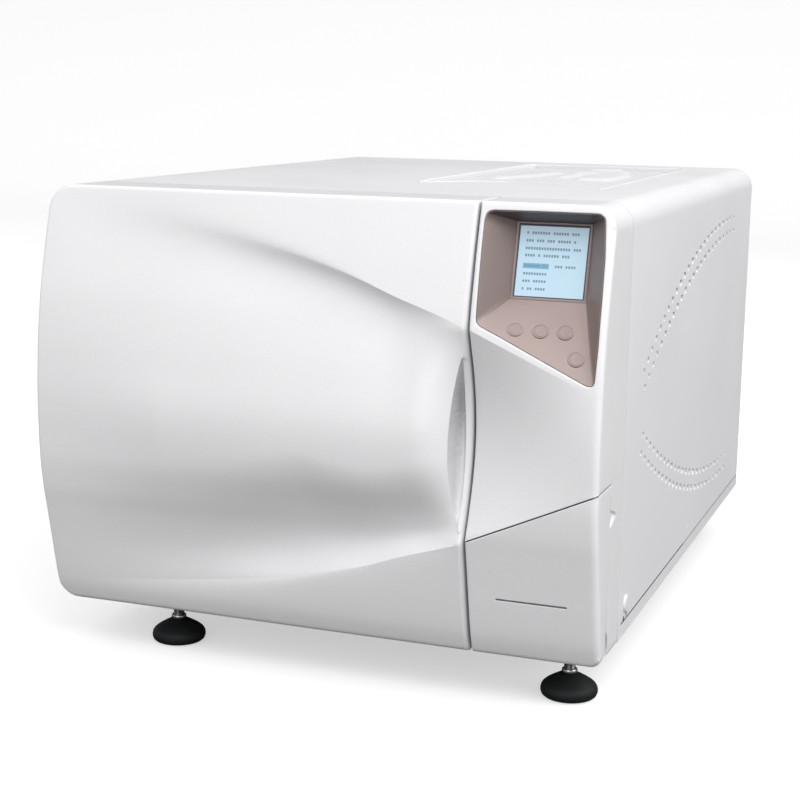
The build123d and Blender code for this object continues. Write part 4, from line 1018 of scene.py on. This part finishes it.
# ============================================================ service flap
def flap_move(places, outward):
    y = places[:, 1].copy()
    downward = np.clip(-outward[:, 1], 0, 1)
    places[:, 2] += (WALL_FOOT - LIP_Z) * downward * np.clip((y - 10.4) / 3, 0, 1) ** 0.6
    # The lower rear corner stays inside the circle it swings through
    swing = HINGE_Z - np.sqrt(np.maximum(14.7 ** 2 - (y - HINGE_Y) ** 2, 0))
    places[:, 2] = np.where(y > HINGE_Y, np.maximum(places[:, 2], swing), places[:, 2])
    inset = np.where(downward > 0.5, 0, 0.9 * edge_drop(FLAP_BACK - y, 1.0))
    places[:, 0] -= outward[:, 0] * inset
    places[:, 2] -= outward[:, 1] * inset * (outward[:, 1] > 0)


def flap_cut(centre):
    """Slots for the lugs."""
    x, y, z = centre
    return z < 12 and 3.5 < y and (146.2 < x < 149.8 or 235.7 < x < 239.3)


def build_flap():
    outline = rounded([(FLAP_LEFT, LIP_Z), (HALF_WIDTH, LIP_Z),
                       (HALF_WIDTH, flap_top(HALF_WIDTH)), (FLAP_LEFT, flap_top(FLAP_LEFT))],
                      [1.0, 10, 0.5, 0.5], 2.4)
    slot = rounded([(163, 46.75), (222, 46.75), (222, 48.35), (163, 48.35)], [0.7] * 4, 1.4)
    around_slot = np.concatenate([points(np.arange(160, 226, 1.6), z)
                                  for z in (43.9, 45.3, 49.8, 51.2)])
    verts, faces, outlines = panel(
        outline, lambda loop: right_radii(loop, 3.5, FLAP_LEFT, flap_top, 0.5), [],
        fascia_y, 2.6, holes=[(slot, 0.45)], extra=around_slot)
    rows = [toward(10.4, 0.3), toward(10.4, 0.7), 10.4, 10.8, 11.3, 12, 14.5, 16.4, 17.4,
            FLAP_BACK]
    verts, faces = add_wall(verts, faces, outlines[0], rows, flap_move, flap_cut)
    verts, faces = add_wall(verts, faces, outlines[1], [behind(1.5), behind(7.0)], flip=True)
    add_object("flap_shell", verts, faces, "service_flap", "front_shell", sharp=26,
               replaces=("service_flap",), thickness=2.0)


def build_knuckles():
    part = Part()
    for x0, x1 in ((141.2, 146.1), (239.4, 243.6)):
        length = x1 - x0
        part.lathe([(3.9, 0), (4.4, 0.5), (4.4, length - 0.5), (3.9, length)],
                   (x0, HINGE_Y, HINGE_Z), (1, 0, 0), 24)
    part.build("flap_knuckles", "service_flap", "front_shell")


def cap_flute(radius, angle):
    """Ten grooves around the wide part."""
    return radius if radius < 6.5 else radius - 0.75 * max(math.cos(10 * angle), 0) ** 3


def build_drain_caps():
    """Short fluted caps on their spindles."""
    profile = [(3.06, 24.6), (5.6, 24.6), (6.9, 25.0), (7.7, 25.9), (8.0, 27.2), (8.0, 29.6),
               (7.5, 30.5), (6.2, 30.7), (3.06, 30.7), (3.06, 24.6)]
    for i, x in enumerate((180.0, 208.0), 1):
        knob = f"drain_knob_{i}"
        part = Part()
        part.lathe(profile, (x, 0, 16.0), (0, 1, 0), 60, flute=cap_flute)
        part.build(f"drain_cap_{i}", knob, cad_slots[knob], sharp=40, replaces=(knob,))


build_flap()
build_knuckles()
build_drain_caps()

# ============================================================ console
# The display's plane: u to the right, v up its face, the normal out of it
DISPLAY_TOP_LEFT = np.array([165.5, 25.0, 344.0])
DISPLAY_BOTTOM_RIGHT = np.array([220.5, 10.5, 290.3])
DISPLAY_TILT = math.radians(15.1)
DISPLAY_SPAN = DISPLAY_BOTTOM_RIGHT - DISPLAY_TOP_LEFT
DISPLAY_CENTRE = (DISPLAY_TOP_LEFT + DISPLAY_BOTTOM_RIGHT) / 2
DISPLAY_NORMAL = np.array([0.0, -math.cos(DISPLAY_TILT), math.sin(DISPLAY_TILT)])
DISPLAY_U = np.array([1.0, 0, 0])
DISPLAY_V = np.cross(DISPLAY_NORMAL, DISPLAY_U)
HALF_U = DISPLAY_SPAN[0] / 2
HALF_V = float(np.linalg.norm(DISPLAY_SPAN[1:])) / 2
FACE_HEIGHT = 0.02

# Opening corners (x, z) and the signs (u, v) of the display corners they lead to
CONSOLE_CORNERS = [((144.2, 356.2), (-1, 1)), ((144.6, 270.0), (-1, -1)),
                   ((240.6, 229.2), (1, -1)), ((238.6, 356.4), (1, 1))]

# Buttons: centre, normal
BUTTONS = [((173.7, -12.5, 266.9), (0.212, -0.679, 0.703)),
           ((192.9, -8.2, 266.1), (0.165, -0.739, 0.654)),
           ((211.8, -4.9, 265.7), (0.124, -0.794, 0.595)),
           ((223.7, -16.0, 247.6), (0.176, -0.796, 0.58))]


def display_point(u, v, height):
    """u, v from the display centre, height out of its face; numbers or arrays."""
    return (DISPLAY_CENTRE + np.multiply.outer(u, DISPLAY_U) + np.multiply.outer(v, DISPLAY_V)
            + np.multiply.outer(height, DISPLAY_NORMAL))


def match_display():
    """For each point of the opening, a point u, v on the display's border."""
    count = len(OPENING)
    at = [int(np.argmin(((OPENING - corner) ** 2).sum(1))) for corner, _ in CONSOLE_CORNERS]
    ends = [np.array([u * HALF_U, v * HALF_V]) for _, (u, v) in CONSOLE_CORNERS]
    matched = np.zeros((count, 2))
    for side in range(4):
        start, after = at[side], (side + 1) % 4
        index = [(start + k) % count for k in range((at[after] - start) % count + 1)]
        lengths = np.linalg.norm(np.diff(OPENING[index], axis=0), axis=1)
        share = np.concatenate([[0], np.cumsum(lengths)])
        share /= share[-1]
        for k, t in zip(index, share):
            matched[k] = (1 - t) * ends[side] + t * ends[after]
    return matched


DISPLAY_BORDER = match_display()


def display_loop(grow, height):
    """The display's border widened by grow."""
    on_border = np.isclose(abs(DISPLAY_BORDER), [HALF_U, HALF_V])
    u, v = (DISPLAY_BORDER + np.sign(DISPLAY_BORDER) * grow * on_border).T
    return display_point(u, v, height)


def behind_fascia(outline, distance):
    x, z = outline.T
    return points(x, fascia_y(x, z) + distance, z)


def build_funnel():
    """Bezel from the opening down to a raised lip around the display."""
    normals = inward(OPENING)
    outer, inner = OPENING + normals * 0.3, OPENING + normals * 1.0
    mouth = behind_fascia(inner, 1.5)
    foot = display_loop(3.1, 0.5)
    loops = [behind_fascia(outer, 3.6), behind_fascia(outer, 1.9),
             behind_fascia(0.5 * (outer + inner), 1.35)]
    loops += [mouth + (foot - mouth) * t for t in np.linspace(0, 1, 12)]
    # The lip is flatter along the display's lower edge
    lip = 1 - 0.75 * np.clip(-DISPLAY_BORDER[:, 1] / HALF_V, 0, 1) ** 8
    for grow, height in ((2.9, 1.15), (2.4, 1.4), (1.6, 1.35), (1.2, 1.0)):
        loops.append(display_loop(grow, 0.5 * (1 - lip) + height * lip))
    loops += [display_loop(0.95, 0.2), display_loop(0.9, -0.6)]
    part = Part()
    part.grid(np.concatenate(loops), len(OPENING), wrap=True)
    part.build("console_funnel", "chassis", "bezel", sharp=24, replaces=("console_bezel",))
    return part


def build_display_border():
    loops = [display_loop(grow, height)
             for grow, height in ((0.95, -0.2), (0.8, 0.2), (0.1, 0.15), (0.0, -0.05))]
    part = Part()
    part.grid(np.concatenate(loops), len(OPENING), wrap=True)
    part.build("display_border", "chassis", "display_body", finishes=("navy",), sharp=30)


def add_bar(part, left, right, top, height, slot, lift):
    """Raised bar on the display, measured from its upper left."""
    left, right, top = left - HALF_U, right - HALF_U, HALF_V - top
    corners = [display_point(u, v, FACE_HEIGHT)
               for u, v in ((left, top - height), (right, top - height), (right, top),
                            (left, top))]
    part.tile(corners, DISPLAY_NORMAL * lift, slot)


def add_dashes(part, random, left, right, middle, size):
    """Row of dashes with word gaps."""
    while left < right - 0.6:
        length = min(1.45, right - left)
        add_bar(part, left, left + length, middle - size / 2, size * 0.9, slot=1, lift=0.1)
        left += length + 0.7
        if random.rand() < 0.24:
            left += 2.1


def build_display_face():
    part = Part()
    cols, rows = 12, 14
    width, height = 2 * HALF_U, 2 * HALF_V
    part.grid([display_point(-HALF_U - 0.3 + (width + 0.6) * i / cols,
                             -HALF_V - 0.3 + (height + 0.6) * j / rows, FACE_HEIGHT)
               for j in range(rows + 1) for i in range(cols + 1)], cols + 1)
    random = np.random.RandomState(7)
    # Text rows: share of the height, left, right
    for share, left, right in ((0.10, 5.5, 49), (0.21, 5.5, 46), (0.32, 5.5, 50),
                               (0.42, 5.5, 44)):
        add_dashes(part, random, left, right, share * height, size=2.3)
    marked = 0.565 * height
    add_bar(part, 4.6, 25.5, marked - 2.0, 4.2, slot=2, lift=0.08)
    add_dashes(part, random, 6.0, 24.0, marked + 0.1, size=1.9)
    add_dashes(part, random, 30.5, 47, marked + 0.1, size=2.1)
    for share in (0.68, 0.785, 0.895):
        add_dashes(part, random, 5.5, 25, share * height, size=2.1)
    part.build("display_face", "chassis", "display_glass",
               finishes=("display_glass", "screen_mark", "screen_bar"), sharp=30,
               replaces=("display_window",))


def build_buttons(funnel):
    """Keys with a ring each, seated on the funnel's surface."""
    ring_profile = [(6.75, -1.2), (6.7, 0.0), (6.4, 0.38), (5.95, 0.55), (5.5, 0.38),
                    (5.3, -0.4), (5.25, -2.2)]
    key_profile = [(4.95, -2.4), (4.95, -0.1), (4.8, 0.25), (4.45, 0.42), (3.9, 0.42),
                   (3.0, 0.28), (1.6, 0.18), (0.4, 0.15)]
    surface = BVHTree.FromPolygons(funnel.points, funnel.faces)
    rings = Part()
    for i, (centre, normal) in enumerate(BUTTONS, 1):
        normal = np.array(normal) / np.linalg.norm(normal)
        hit = surface.ray_cast(Vector(tuple(np.array(centre) + 14 * normal)),
                               Vector(tuple(-normal)))[0]
        # Falls back on the listed centre should the ray miss the funnel
        if hit is not None:
            centre = np.array(hit) + 0.05 * normal
        else:
            centre = np.array(centre) - 0.2 * normal
        rings.lathe(ring_profile, centre, normal, 48, cap=False)
        key = Part()
        key.lathe(key_profile, centre, normal, 48)
        key.build(f"key_{i}", f"button_{i}", "button", sharp=35, replaces=(f"button_{i}",))
    rings.build("key_rings", "chassis", "bezel", sharp=35)


funnel = build_funnel()
build_display_border()
build_display_face()
build_buttons(funnel)

# ============================================================ levelling feet
# x, y of the foot, z of its rod's top
FEET = {"front_left": (-154.0, 49.5, -3.6), "front_right": (211.0, 49.5, -3.6),
        "rear_left": (-165.0, 590.0, 11.0), "rear_right": (165.0, 590.0, 11.0)}
PAD_PROFILE = [
    (3, 0.0), (19.0, 0.0), (21.4, 0.7), (23.0, 2.0), (23.9, 4.2), (24.0, 6.4), (23.6, 8.4),
    (22.4, 10.4), (20.4, 12.2), (17.8, 14.0), (14.8, 15.8), (12.0, 17.4), (9.6, 18.7),
    (8.0, 19.5), (7.0, 19.85), (6.0, 19.9), (2, 19.9)]
COLLAR_PROFILE = [(5.2, -27.05), (6.2, -26.9), (6.6, -26.4), (6.6, -24.0), (6.2, -23.3),
                  (5.2, -23.1), (4.2, -23.0)]


def add_thread(part, x, y, bottom, top):
    """Threaded rod as a helical surface, capped at the top."""
    sides, pitch, core, depth = 24, 1.5, 4.45, 0.5
    steps = int((top - bottom) / 0.25)
    surface = []
    for step in range(steps + 1):
        z = bottom + (top - bottom) * step / steps
        for k in range(sides):
            t = 2 * math.pi * k / sides
            phase = ((z / pitch) - k / sides) % 1.0
            radius = core + depth * (1 - abs(2 * phase - 1)) ** 0.9
            surface.append((x + radius * math.cos(t), y + radius * math.sin(t), z))
    cap = tuple(steps * sides + k for k in range(sides))
    part.add(surface, grid_faces(steps + 1, sides, wrap=True) + [cap])


def build_foot(name, x, y, rod_top):
    pad = Part()
    pad.lathe(PAD_PROFILE, (x, y, -47), (0, 0, 1), 64)
    pad.build(f"pad_{name}", f"foot_{name}", "black_rubber", sharp=50,
              replaces=(f"foot_pad_{name}",))
    rod = Part()
    add_thread(rod, x, y, -23.0, rod_top)
    rod.lathe(COLLAR_PROFILE, (x, y, 0), (0, 0, 1), 40, slot=1)
    rod.build(f"rod_{name}", f"foot_{name}", "stud_steel",
              finishes=("stud_steel", "bright_steel"), sharp=40,
              replaces=(f"foot_stud_{name}",))


for name, place in FEET.items():
    build_foot(name, *place)


# ============================================================ screws
def add_screw(part, centre, axis, radius, height, turn, groove_slot=0):
    """Domed head with a thin bar as its groove, turned about the axis."""
    shape = [(0.98, None), (1, 0.0), (1, 0.45), (0.93, 0.8), (0.72, 0.97), (0.35, 1)]
    profile = [(radius * r, -0.4 if h is None else height * h) for r, h in shape]
    part.lathe(profile + [(0.2, height)], centre, axis, 32)
    a = np.array(axis, float)
    u = np.cross(a, [0, 0, 1.0])
    u /= np.linalg.norm(u)
    along = u * math.cos(turn) + np.cross(a, u) * math.sin(turn)
    across = np.cross(a, along)
    middle = np.array(centre, float) + a * (height - 0.02)
    corners = [middle + along * i * radius * 0.74 + across * j * 0.55
               for i, j in ((-1, -1), (1, -1), (1, 1), (-1, 1))]
    part.tile(corners, a * 0.04, groove_slot)


def build_screws():
    part = Part()
    for side in (-1, 1):
        add_screw(part, (side * HALF_WIDTH, 86.0, 26.5), (side, 0, 0), radius=7.4, height=1.78,
                  turn=math.pi / 2)
        for y in (360.0, 630.0):
            add_screw(part, (side * (HALF_WIDTH + 0.05), y, 24.0), (side, 0, 0), radius=2.9,
                      height=0.25, turn=0.6)
    # The rear screws' grooves are dark bars: painted shadow in the slots.
    for x, z in ((-232, 348), (232, 348), (-232, 16), (232, 16), (0, 350), (0, 10)):
        add_screw(part, (x, 659.0, z), (0, 1, 0), radius=4.0, height=1.6, turn=0.5 + x,
                  groove_slot=1)
    part.build("screw_heads", "chassis", "painted_steel",
               finishes=("painted_steel", "painted_shadow"), sharp=40, replaces=("casing_screws",))


build_screws()

# ============================================================ vents
# Rows on circular arcs: y = a i^2 + b i + c; circle centre y, z, radius; side of the centre
VENT_ARCS = [(0.162, 14.513, 122.744, 532.9, -577.0, 895.0, 1),
             (0.147, 14.833, 128.518, 547.0, -622.1, 926.0, 1),
             (0.153, 15.451, 129.2, 569.9, 1028.2, 970.9, -1),
             (0.166, 15.186, 124.5, 568.4, 1026.3, 984.3, -1)]
VENTS_PER_ROW = 24


def vents():
    """Side, y, z, width and height of every vent."""
    out = []
    for side in (-1, 1):
        for a, b, c, centre_y, centre_z, radius, sign in VENT_ARCS:
            for i in range(VENTS_PER_ROW):
                y = a * i * i + b * i + c
                z = centre_z + sign * math.sqrt(radius ** 2 - (y - centre_y) ** 2)
                swell = math.sin(math.pi * (i + 0.5) / VENTS_PER_ROW)
                out.append((side, y, z, 7.6 + 3.4 * swell, 4.6 + 1.6 * swell))
    return out


def build_vent_shadow():
    """Painted shadow: a dark patch behind each vent."""
    part = Part()
    for side, y, z, width, height in vents():
        part.box(sorted((side * (HALF_WIDTH - 4.0), side * (HALF_WIDTH - 3.3))),
                 (y - width * 0.5, y + width * 0.5 + 10.5),
                 (z - height * 0.34, z + height * 0.66), chamfer=0.15)
    part.build("vent_shadow_patches", "chassis", "dark_plastic", finishes=("painted_shadow",), sharp=30)


def build_vent_tongues():
    """The lower half of each obround, pushed in and up."""
    cols, rows = 10, 5
    part = Part()
    for side, y, z, width, height in vents():
        tongue = []
        for row in range(rows + 1):
            t = row / rows
            for col in range(cols + 1):
                q = -1 + 2 * col / cols
                angle = math.pi * (1.5 + 0.5 * q)
                bulge = 1 - q * q
                end = (width / 2 - height / 2) * max(min(q * 2.0, 1), -1)
                along = end + (height / 2 + 0.25) * math.cos(angle)
                up = ((height / 2 + 0.25) * math.sin(angle)
                      + (height * 0.36) * t * (0.35 + 0.65 * bulge))
                depth = 0.4 + 2.4 * math.sin(math.pi / 2 * t) * (0.3 + 0.7 * bulge)
                tongue.append((side * (HALF_WIDTH - depth), y + along * (1 - 0.05 * t), z + up))
        faces = grid_faces(rows + 1, cols + 1)
        part.add(tongue, faces if side > 0 else [face[::-1] for face in faces])
    part.build("vent_tongues", "chassis", "painted_steel", sharp=50, thickness=0.5)


build_vent_shadow()
build_vent_tongues()

# ============================================================ tank lid and tray in the top
# Recess outline x, y: a wavy front edge, then right side, rear and left side
RECESS_WAVE = [(13, 210), (29, 221), (50, 245), (77, 254), (97, 250), (120, 238), (144, 219),
               (165, 208), (186, 198)]
RECESS_REST = [(186, 198), (188, 202), (186, 590), (184, 597), (178, 602), (12, 602),
               (6, 598), (4, 590), (5, 250), (9, 214)]
LID_Z = 359.6


def catmull(knots, steps=6):
    """Spline through the knots, without the last one."""
    out = []
    for i in range(len(knots) - 1):
        around = (knots[max(i - 1, 0)], knots[i], knots[i + 1], knots[min(i + 2, len(knots) - 1)])
        for k in range(steps):
            t = k / steps
            out.append(tuple(
                0.5 * (2 * b + (c - a) * t + (2 * a - 5 * b + 4 * c - d) * t * t
                       + (3 * b - a - 3 * c + d) * t ** 3) for a, b, c, d in zip(*around)))
    return out


RECESS = clean_loop(dense(catmull(RECESS_WAVE) + RECESS_REST, 5.0), 0.5)
RECESS_INWARD = inward(RECESS)


def near_rect(x, y, x0, x1, y0, y1, reach):
    """1 inside a rectangle, falling to 0 at reach outside it."""
    dx = np.maximum(np.maximum(x0 - x, x - x1), 0)
    dy = np.maximum(np.maximum(y0 - y, y - y1), 0)
    return np.clip(1 - np.sqrt(dx * dx + dy * dy) / reach, 0, 1)


def ease(t):
    t = np.clip(t, 0, 1)
    return t * t * (3 - 2 * t)


def lid_height(x, y):
    """Lid with a faint ridge, two raised strokes, two pads and a ribbed pad."""
    def from_line(*line):
        line = np.array(line, float)
        return segment_distance(points(x, y), line[:-1], line[1:])

    z = LID_Z + 0.5 * ease(1 - from_line((96, 590), (96, 262)) / 60)
    z += 2.6 * ease(1.25 - from_line((41, 366), (56, 415), (68, 484)) / 9.0)
    z += 2.2 * ease(1.3 - from_line((95, 408), (96, 468)) / 6.0)
    z += 2.6 * ease(near_rect(x, y, 120, 144, 388, 484, 7) * 1.2)
    z += 2.2 * ease(near_rect(x, y, 88, 112, 568, 588, 5) * 1.3)
    ribs = (0.7 * (np.cos((x - 88) * 2 * math.pi / 6.0) > 0)
            * (near_rect(x, y, 84, 132, 500, 540, 0.5) > 0.5))
    z += 1.6 * ease(near_rect(x, y, 84, 132, 500, 540, 4) * 1.3) + ribs
    return np.minimum(z, 362.6)


def build_lid():
    loop = RECESS + RECESS_INWARD * 5.4
    spacing = 3.4
    fill = staggered(np.arange(4, 190, spacing), np.arange(198, 604, spacing * 0.9),
                     spacing / 2)
    fill = fill[inside(fill, loop)]
    fill = fill[loop_distance(fill, loop) > 1.8]
    count = len(loop)
    flat, faces = triangulate(np.concatenate([loop, RECESS + RECESS_INWARD * 6.6, fill]),
                              closed_edges(0, count))
    faces = [face for face, ok in zip(faces, inside(face_centres(flat, faces), loop)) if ok]
    border = loop_distance(flat, loop)
    z = lid_height(flat[:, 0], flat[:, 1])
    z = np.where(border < 6, LID_Z + (z - LID_Z) * ease(border / 6), z) - edge_drop(border, 1.2)
    # Wall down from the border
    low = len(flat)
    faces += [(i, low + i, low + j, j) for i, j in closed_edges(0, count)]
    part = Part()
    part.add(np.concatenate([points(flat[:, 0], flat[:, 1], z),
                             points(loop[:, 0], loop[:, 1], 351.2)]), faces)
    part.build("lid_sculpted", "tank_lid", "tray_plastic", sharp=30, replaces=("tank_lid",),
               thickness=1.6)


def build_tray_rim():
    # Inset from the recess outline, z
    section = [(0.4, 348.2), (0.35, 361.2), (0.45, 363.3), (0.9, 363.95), (1.6, 364.2),
               (2.4, 364.05), (3.0, 363.4), (3.4, 362.0), (3.5, 351.0), (4.6, 350.2),
               (9.0, 350.2)]
    part = Part()
    part.grid(np.concatenate([points(*(RECESS + RECESS_INWARD * inset).T, z)
                              for inset, z in section]), len(RECESS), wrap=True)
    part.build("tray_rim", "chassis", "tray_plastic", sharp=35, thickness=1.2)


build_lid()
build_tray_rim()


# ============================================================ joints, with painted shadow in their gaps
def build_gap_shadow():
    """Painted shadow: a dark strip in the gap between door and fascia, a small dark plug at its
    top, a dark strip along the seam.
    """
    part = Part()
    part.box((137.4, 138.9), (47.0, 57.0), (3.0, 345.0), chamfer=0.3)
    part.lathe([(1.2, -3.0), (1.5, -0.6), (1.5, 0.0), (1.0, 0.12)], (138.3, 57.6, 362.7),
               (0, 0, 1), 20)
    section = ((-0.5, 3.0), (-0.45, 0.3), (0.0, 0.0), (0.45, 0.3), (0.5, 3.0))   # dz, dy
    xs = np.linspace(139.9, HALF_WIDTH - 0.8, 70)
    fronts = fascia_y(xs, seam_z(xs)) + edge_drop(HALF_WIDTH - xs, SIDE_RADIUS) + 1.5
    part.grid([(x, min(y + dy, 17.5), seam_z(x) + dz) for x, y in zip(xs, fronts)
               for dz, dy in section], len(section), flip=True)
    part.build("gap_shadow_strips", "chassis", "dark_plastic", finishes=("painted_shadow",), sharp=30)


def build_base_joint_shadow():
    """Painted shadow: dark strips in the joint low on both sides, and in the short slots near its
    front end.
    """
    strips = ((73.0, 340.0, 11.75, 13.05), (340.0, 654.0, 12.1, 12.85),
              (78.5, 82.5, 13.0, 15.2), (80.0, 84.0, 14.6, 16.4),
              (89.5, 92.2, 14.2, 21.0))                                          # y, y, z, z
    part = Part()
    for side in (-1, 1):
        x = sorted((side * (HALF_WIDTH - 1.0), side * (HALF_WIDTH + 0.22)))
        for y0, y1, z0, z1 in strips:
            part.box(x, (y0, y1), (z0, z1), chamfer=0.15)
    part.build("base_joint_shadow", "chassis", "dark_plastic", finishes=("painted_shadow",), sharp=30)


build_gap_shadow()
build_base_joint_shadow()


# ============================================================ smooth shading of the CAD nodes
def smooth_by_angle():
    """Welds the mesh and smooths every edge flatter than 26 degrees."""
    tree = bpy.data.node_groups.new("smooth_by_angle", "GeometryNodeTree")
    for direction in ("INPUT", "OUTPUT"):
        tree.interface.new_socket("Geometry", in_out=direction,
                                  socket_type="NodeSocketGeometry")
    source = add_node(tree, "NodeGroupInput")
    output = add_node(tree, "NodeGroupOutput")
    weld = add_node(tree, "GeometryNodeMergeByDistance",
                    {"Geometry": source.outputs[0], "Distance": 1e-6})
    angle = add_node(tree, "GeometryNodeInputMeshEdgeAngle")
    flat = add_node(tree, "FunctionNodeCompare",
                    {0: angle.outputs["Unsigned Angle"], 1: math.radians(26)},
                    operation="LESS_THAN")
    faces = add_node(tree, "GeometryNodeSetShadeSmooth", {"Geometry": weld.outputs[0]},
                     domain="FACE")
    edges = add_node(tree, "GeometryNodeSetShadeSmooth",
                     {"Geometry": faces.outputs[0], "Shade Smooth": flat.outputs[0]},
                     domain="EDGE")
    tree.links.new(edges.outputs[0], output.inputs[0])
    return tree


smooth_group = smooth_by_angle()
for o in frame["nodes"].values():
    if not o.hide_render:
        o.modifiers.new("smooth", "NODES").node_group = smooth_group


# ============================================================ stage, in metres
def build_floor():
    """Flat floor that curves up behind; self-lit to the camera, dark to other rays."""
    half_width, cols, rows, flat_share = 9.0, 40, 48, 0.6
    verts = []
    for row in range(rows + 1):
        t = row / rows
        if t < flat_share:
            y, z = -4.0 + t / flat_share * 8.0, 0.0
        else:
            a = (t - flat_share) / 0.4 * math.pi / 2
            y, z = 4.0 + 2.5 * math.sin(a), 2.5 * (1 - math.cos(a)) * 1.6
        verts += [(-half_width + 2 * half_width * i / cols, y, z - 0.0002)
                  for i in range(cols + 1)]
    mesh = bpy.data.meshes.new("floor")
    mesh.from_pydata(verts, [], grid_faces(rows + 1, cols + 1))
    for polygon in mesh.polygons:
        polygon.use_smooth = True
    floor = bpy.data.objects.new("floor", mesh)
    scene.collection.objects.link(floor)

    finish("floor_paint", (0.62, 0.62, 0.62), rough=0.8, grain=40, bump=0.02, var=0.004,
           coarse=2, specular=0.1)
    tree = FINISHES["floor_paint"].node_tree
    path = add_node(tree, "ShaderNodeLightPath")
    glow = add_node(tree, "ShaderNodeEmission", {0: (1, 1, 1, 1), 1: 0.52})
    lit = add_node(tree, "ShaderNodeAddShader",
                   {0: tree.nodes["Principled BSDF"].outputs[0], 1: glow.outputs[0]})
    dark = add_node(tree, "ShaderNodeBsdfDiffuse", {0: (0.15, 0.15, 0.15, 1)})
    mix = add_node(tree, "ShaderNodeMixShader", {0: path.outputs["Is Camera Ray"],
                                                 1: dark.outputs[0], 2: lit.outputs[0]})
    tree.links.new(mix.outputs[0], tree.nodes["Material Output"].inputs[0])
    mesh.materials.append(FINISHES["floor_paint"])


def build_world():
    """Grey below the horizon, rising to white."""
    studio = bpy.data.worlds.new("studio")
    scene.world = studio
    studio.use_nodes = True
    tree = studio.node_tree
    direction = add_node(tree, "ShaderNodeTexCoord").outputs["Generated"]
    split = add_node(tree, "ShaderNodeSeparateXYZ", {0: direction})
    height = add_node(tree, "ShaderNodeMapRange", {"Value": split.outputs["Z"],
                                                   "From Min": -0.25, "From Max": 1.0})
    ramp = add_node(tree, "ShaderNodeValToRGB", {0: height.outputs[0]})
    low, high = ramp.color_ramp.elements
    low.color, low.position = (0.62, 0.62, 0.63, 1), 0.0
    high.color, high.position = (1.0, 1.0, 1.0, 1), 0.75
    background = tree.nodes["Background"]
    tree.links.new(ramp.outputs[0], background.inputs["Color"])
    background.inputs["Strength"].default_value = 0.875


LIGHT_TARGET = Vector((0.0, 0.0, 0.2))
# Name, azimuth from the front towards the right, elevation, distance, size, power
LIGHTS = [("key_front_right", 35, 42, 2.7, 1.4, 22.5), ("right_rear", 115, 40, 2.6, 1.6, 14.5),
          ("right_low", 80, 22, 2.6, 1.6, 17.0), ("front_soft", 0, 15, 2.8, 1.4, 9.5)]


def sight(azimuth, elevation):
    """Direction from the target towards a light or camera, angles in degrees."""
    a, e = math.radians(azimuth), math.radians(elevation)
    return Vector((math.sin(a) * math.cos(e), -math.cos(a) * math.cos(e), math.sin(e)))


def build_light(name, azimuth, elevation, distance, size, power):
    light = bpy.data.lights.new(name, "AREA")
    light.energy = power
    light.size = size
    o = bpy.data.objects.new(name, light)
    o.location = LIGHT_TARGET + distance * sight(azimuth, elevation)
    o.rotation_euler = (LIGHT_TARGET - o.location).to_track_quat("-Z", "Y").to_euler()
    scene.collection.objects.link(o)


def build_camera():
    camera = bpy.data.cameras.new("cam")
    camera.lens = 74.38
    camera.sensor_width = 36
    camera.clip_start = 0.05
    o = bpy.data.objects.new("cam", camera)
    scene.collection.objects.link(o)
    back = sight(20.409, 10.867)
    roll = math.radians(0.848)
    level_right = (-back).cross(Vector((0, 0, 1))).normalized()
    level_up = level_right.cross(-back).normalized()
    right = math.cos(roll) * level_right + math.sin(roll) * level_up
    up = -math.sin(roll) * level_right + math.cos(roll) * level_up
    location = Vector(world((531.94, -1227.42, 452.69)))
    turn = Matrix((right, up, back)).transposed().to_4x4()
    o.matrix_world = Matrix.Translation(location) @ turn
    scene.camera = o


build_floor()
build_world()
for light in LIGHTS:
    build_light(*light)
build_camera()
scene.view_settings.view_transform = "Standard"
scene.view_settings.look = "None"
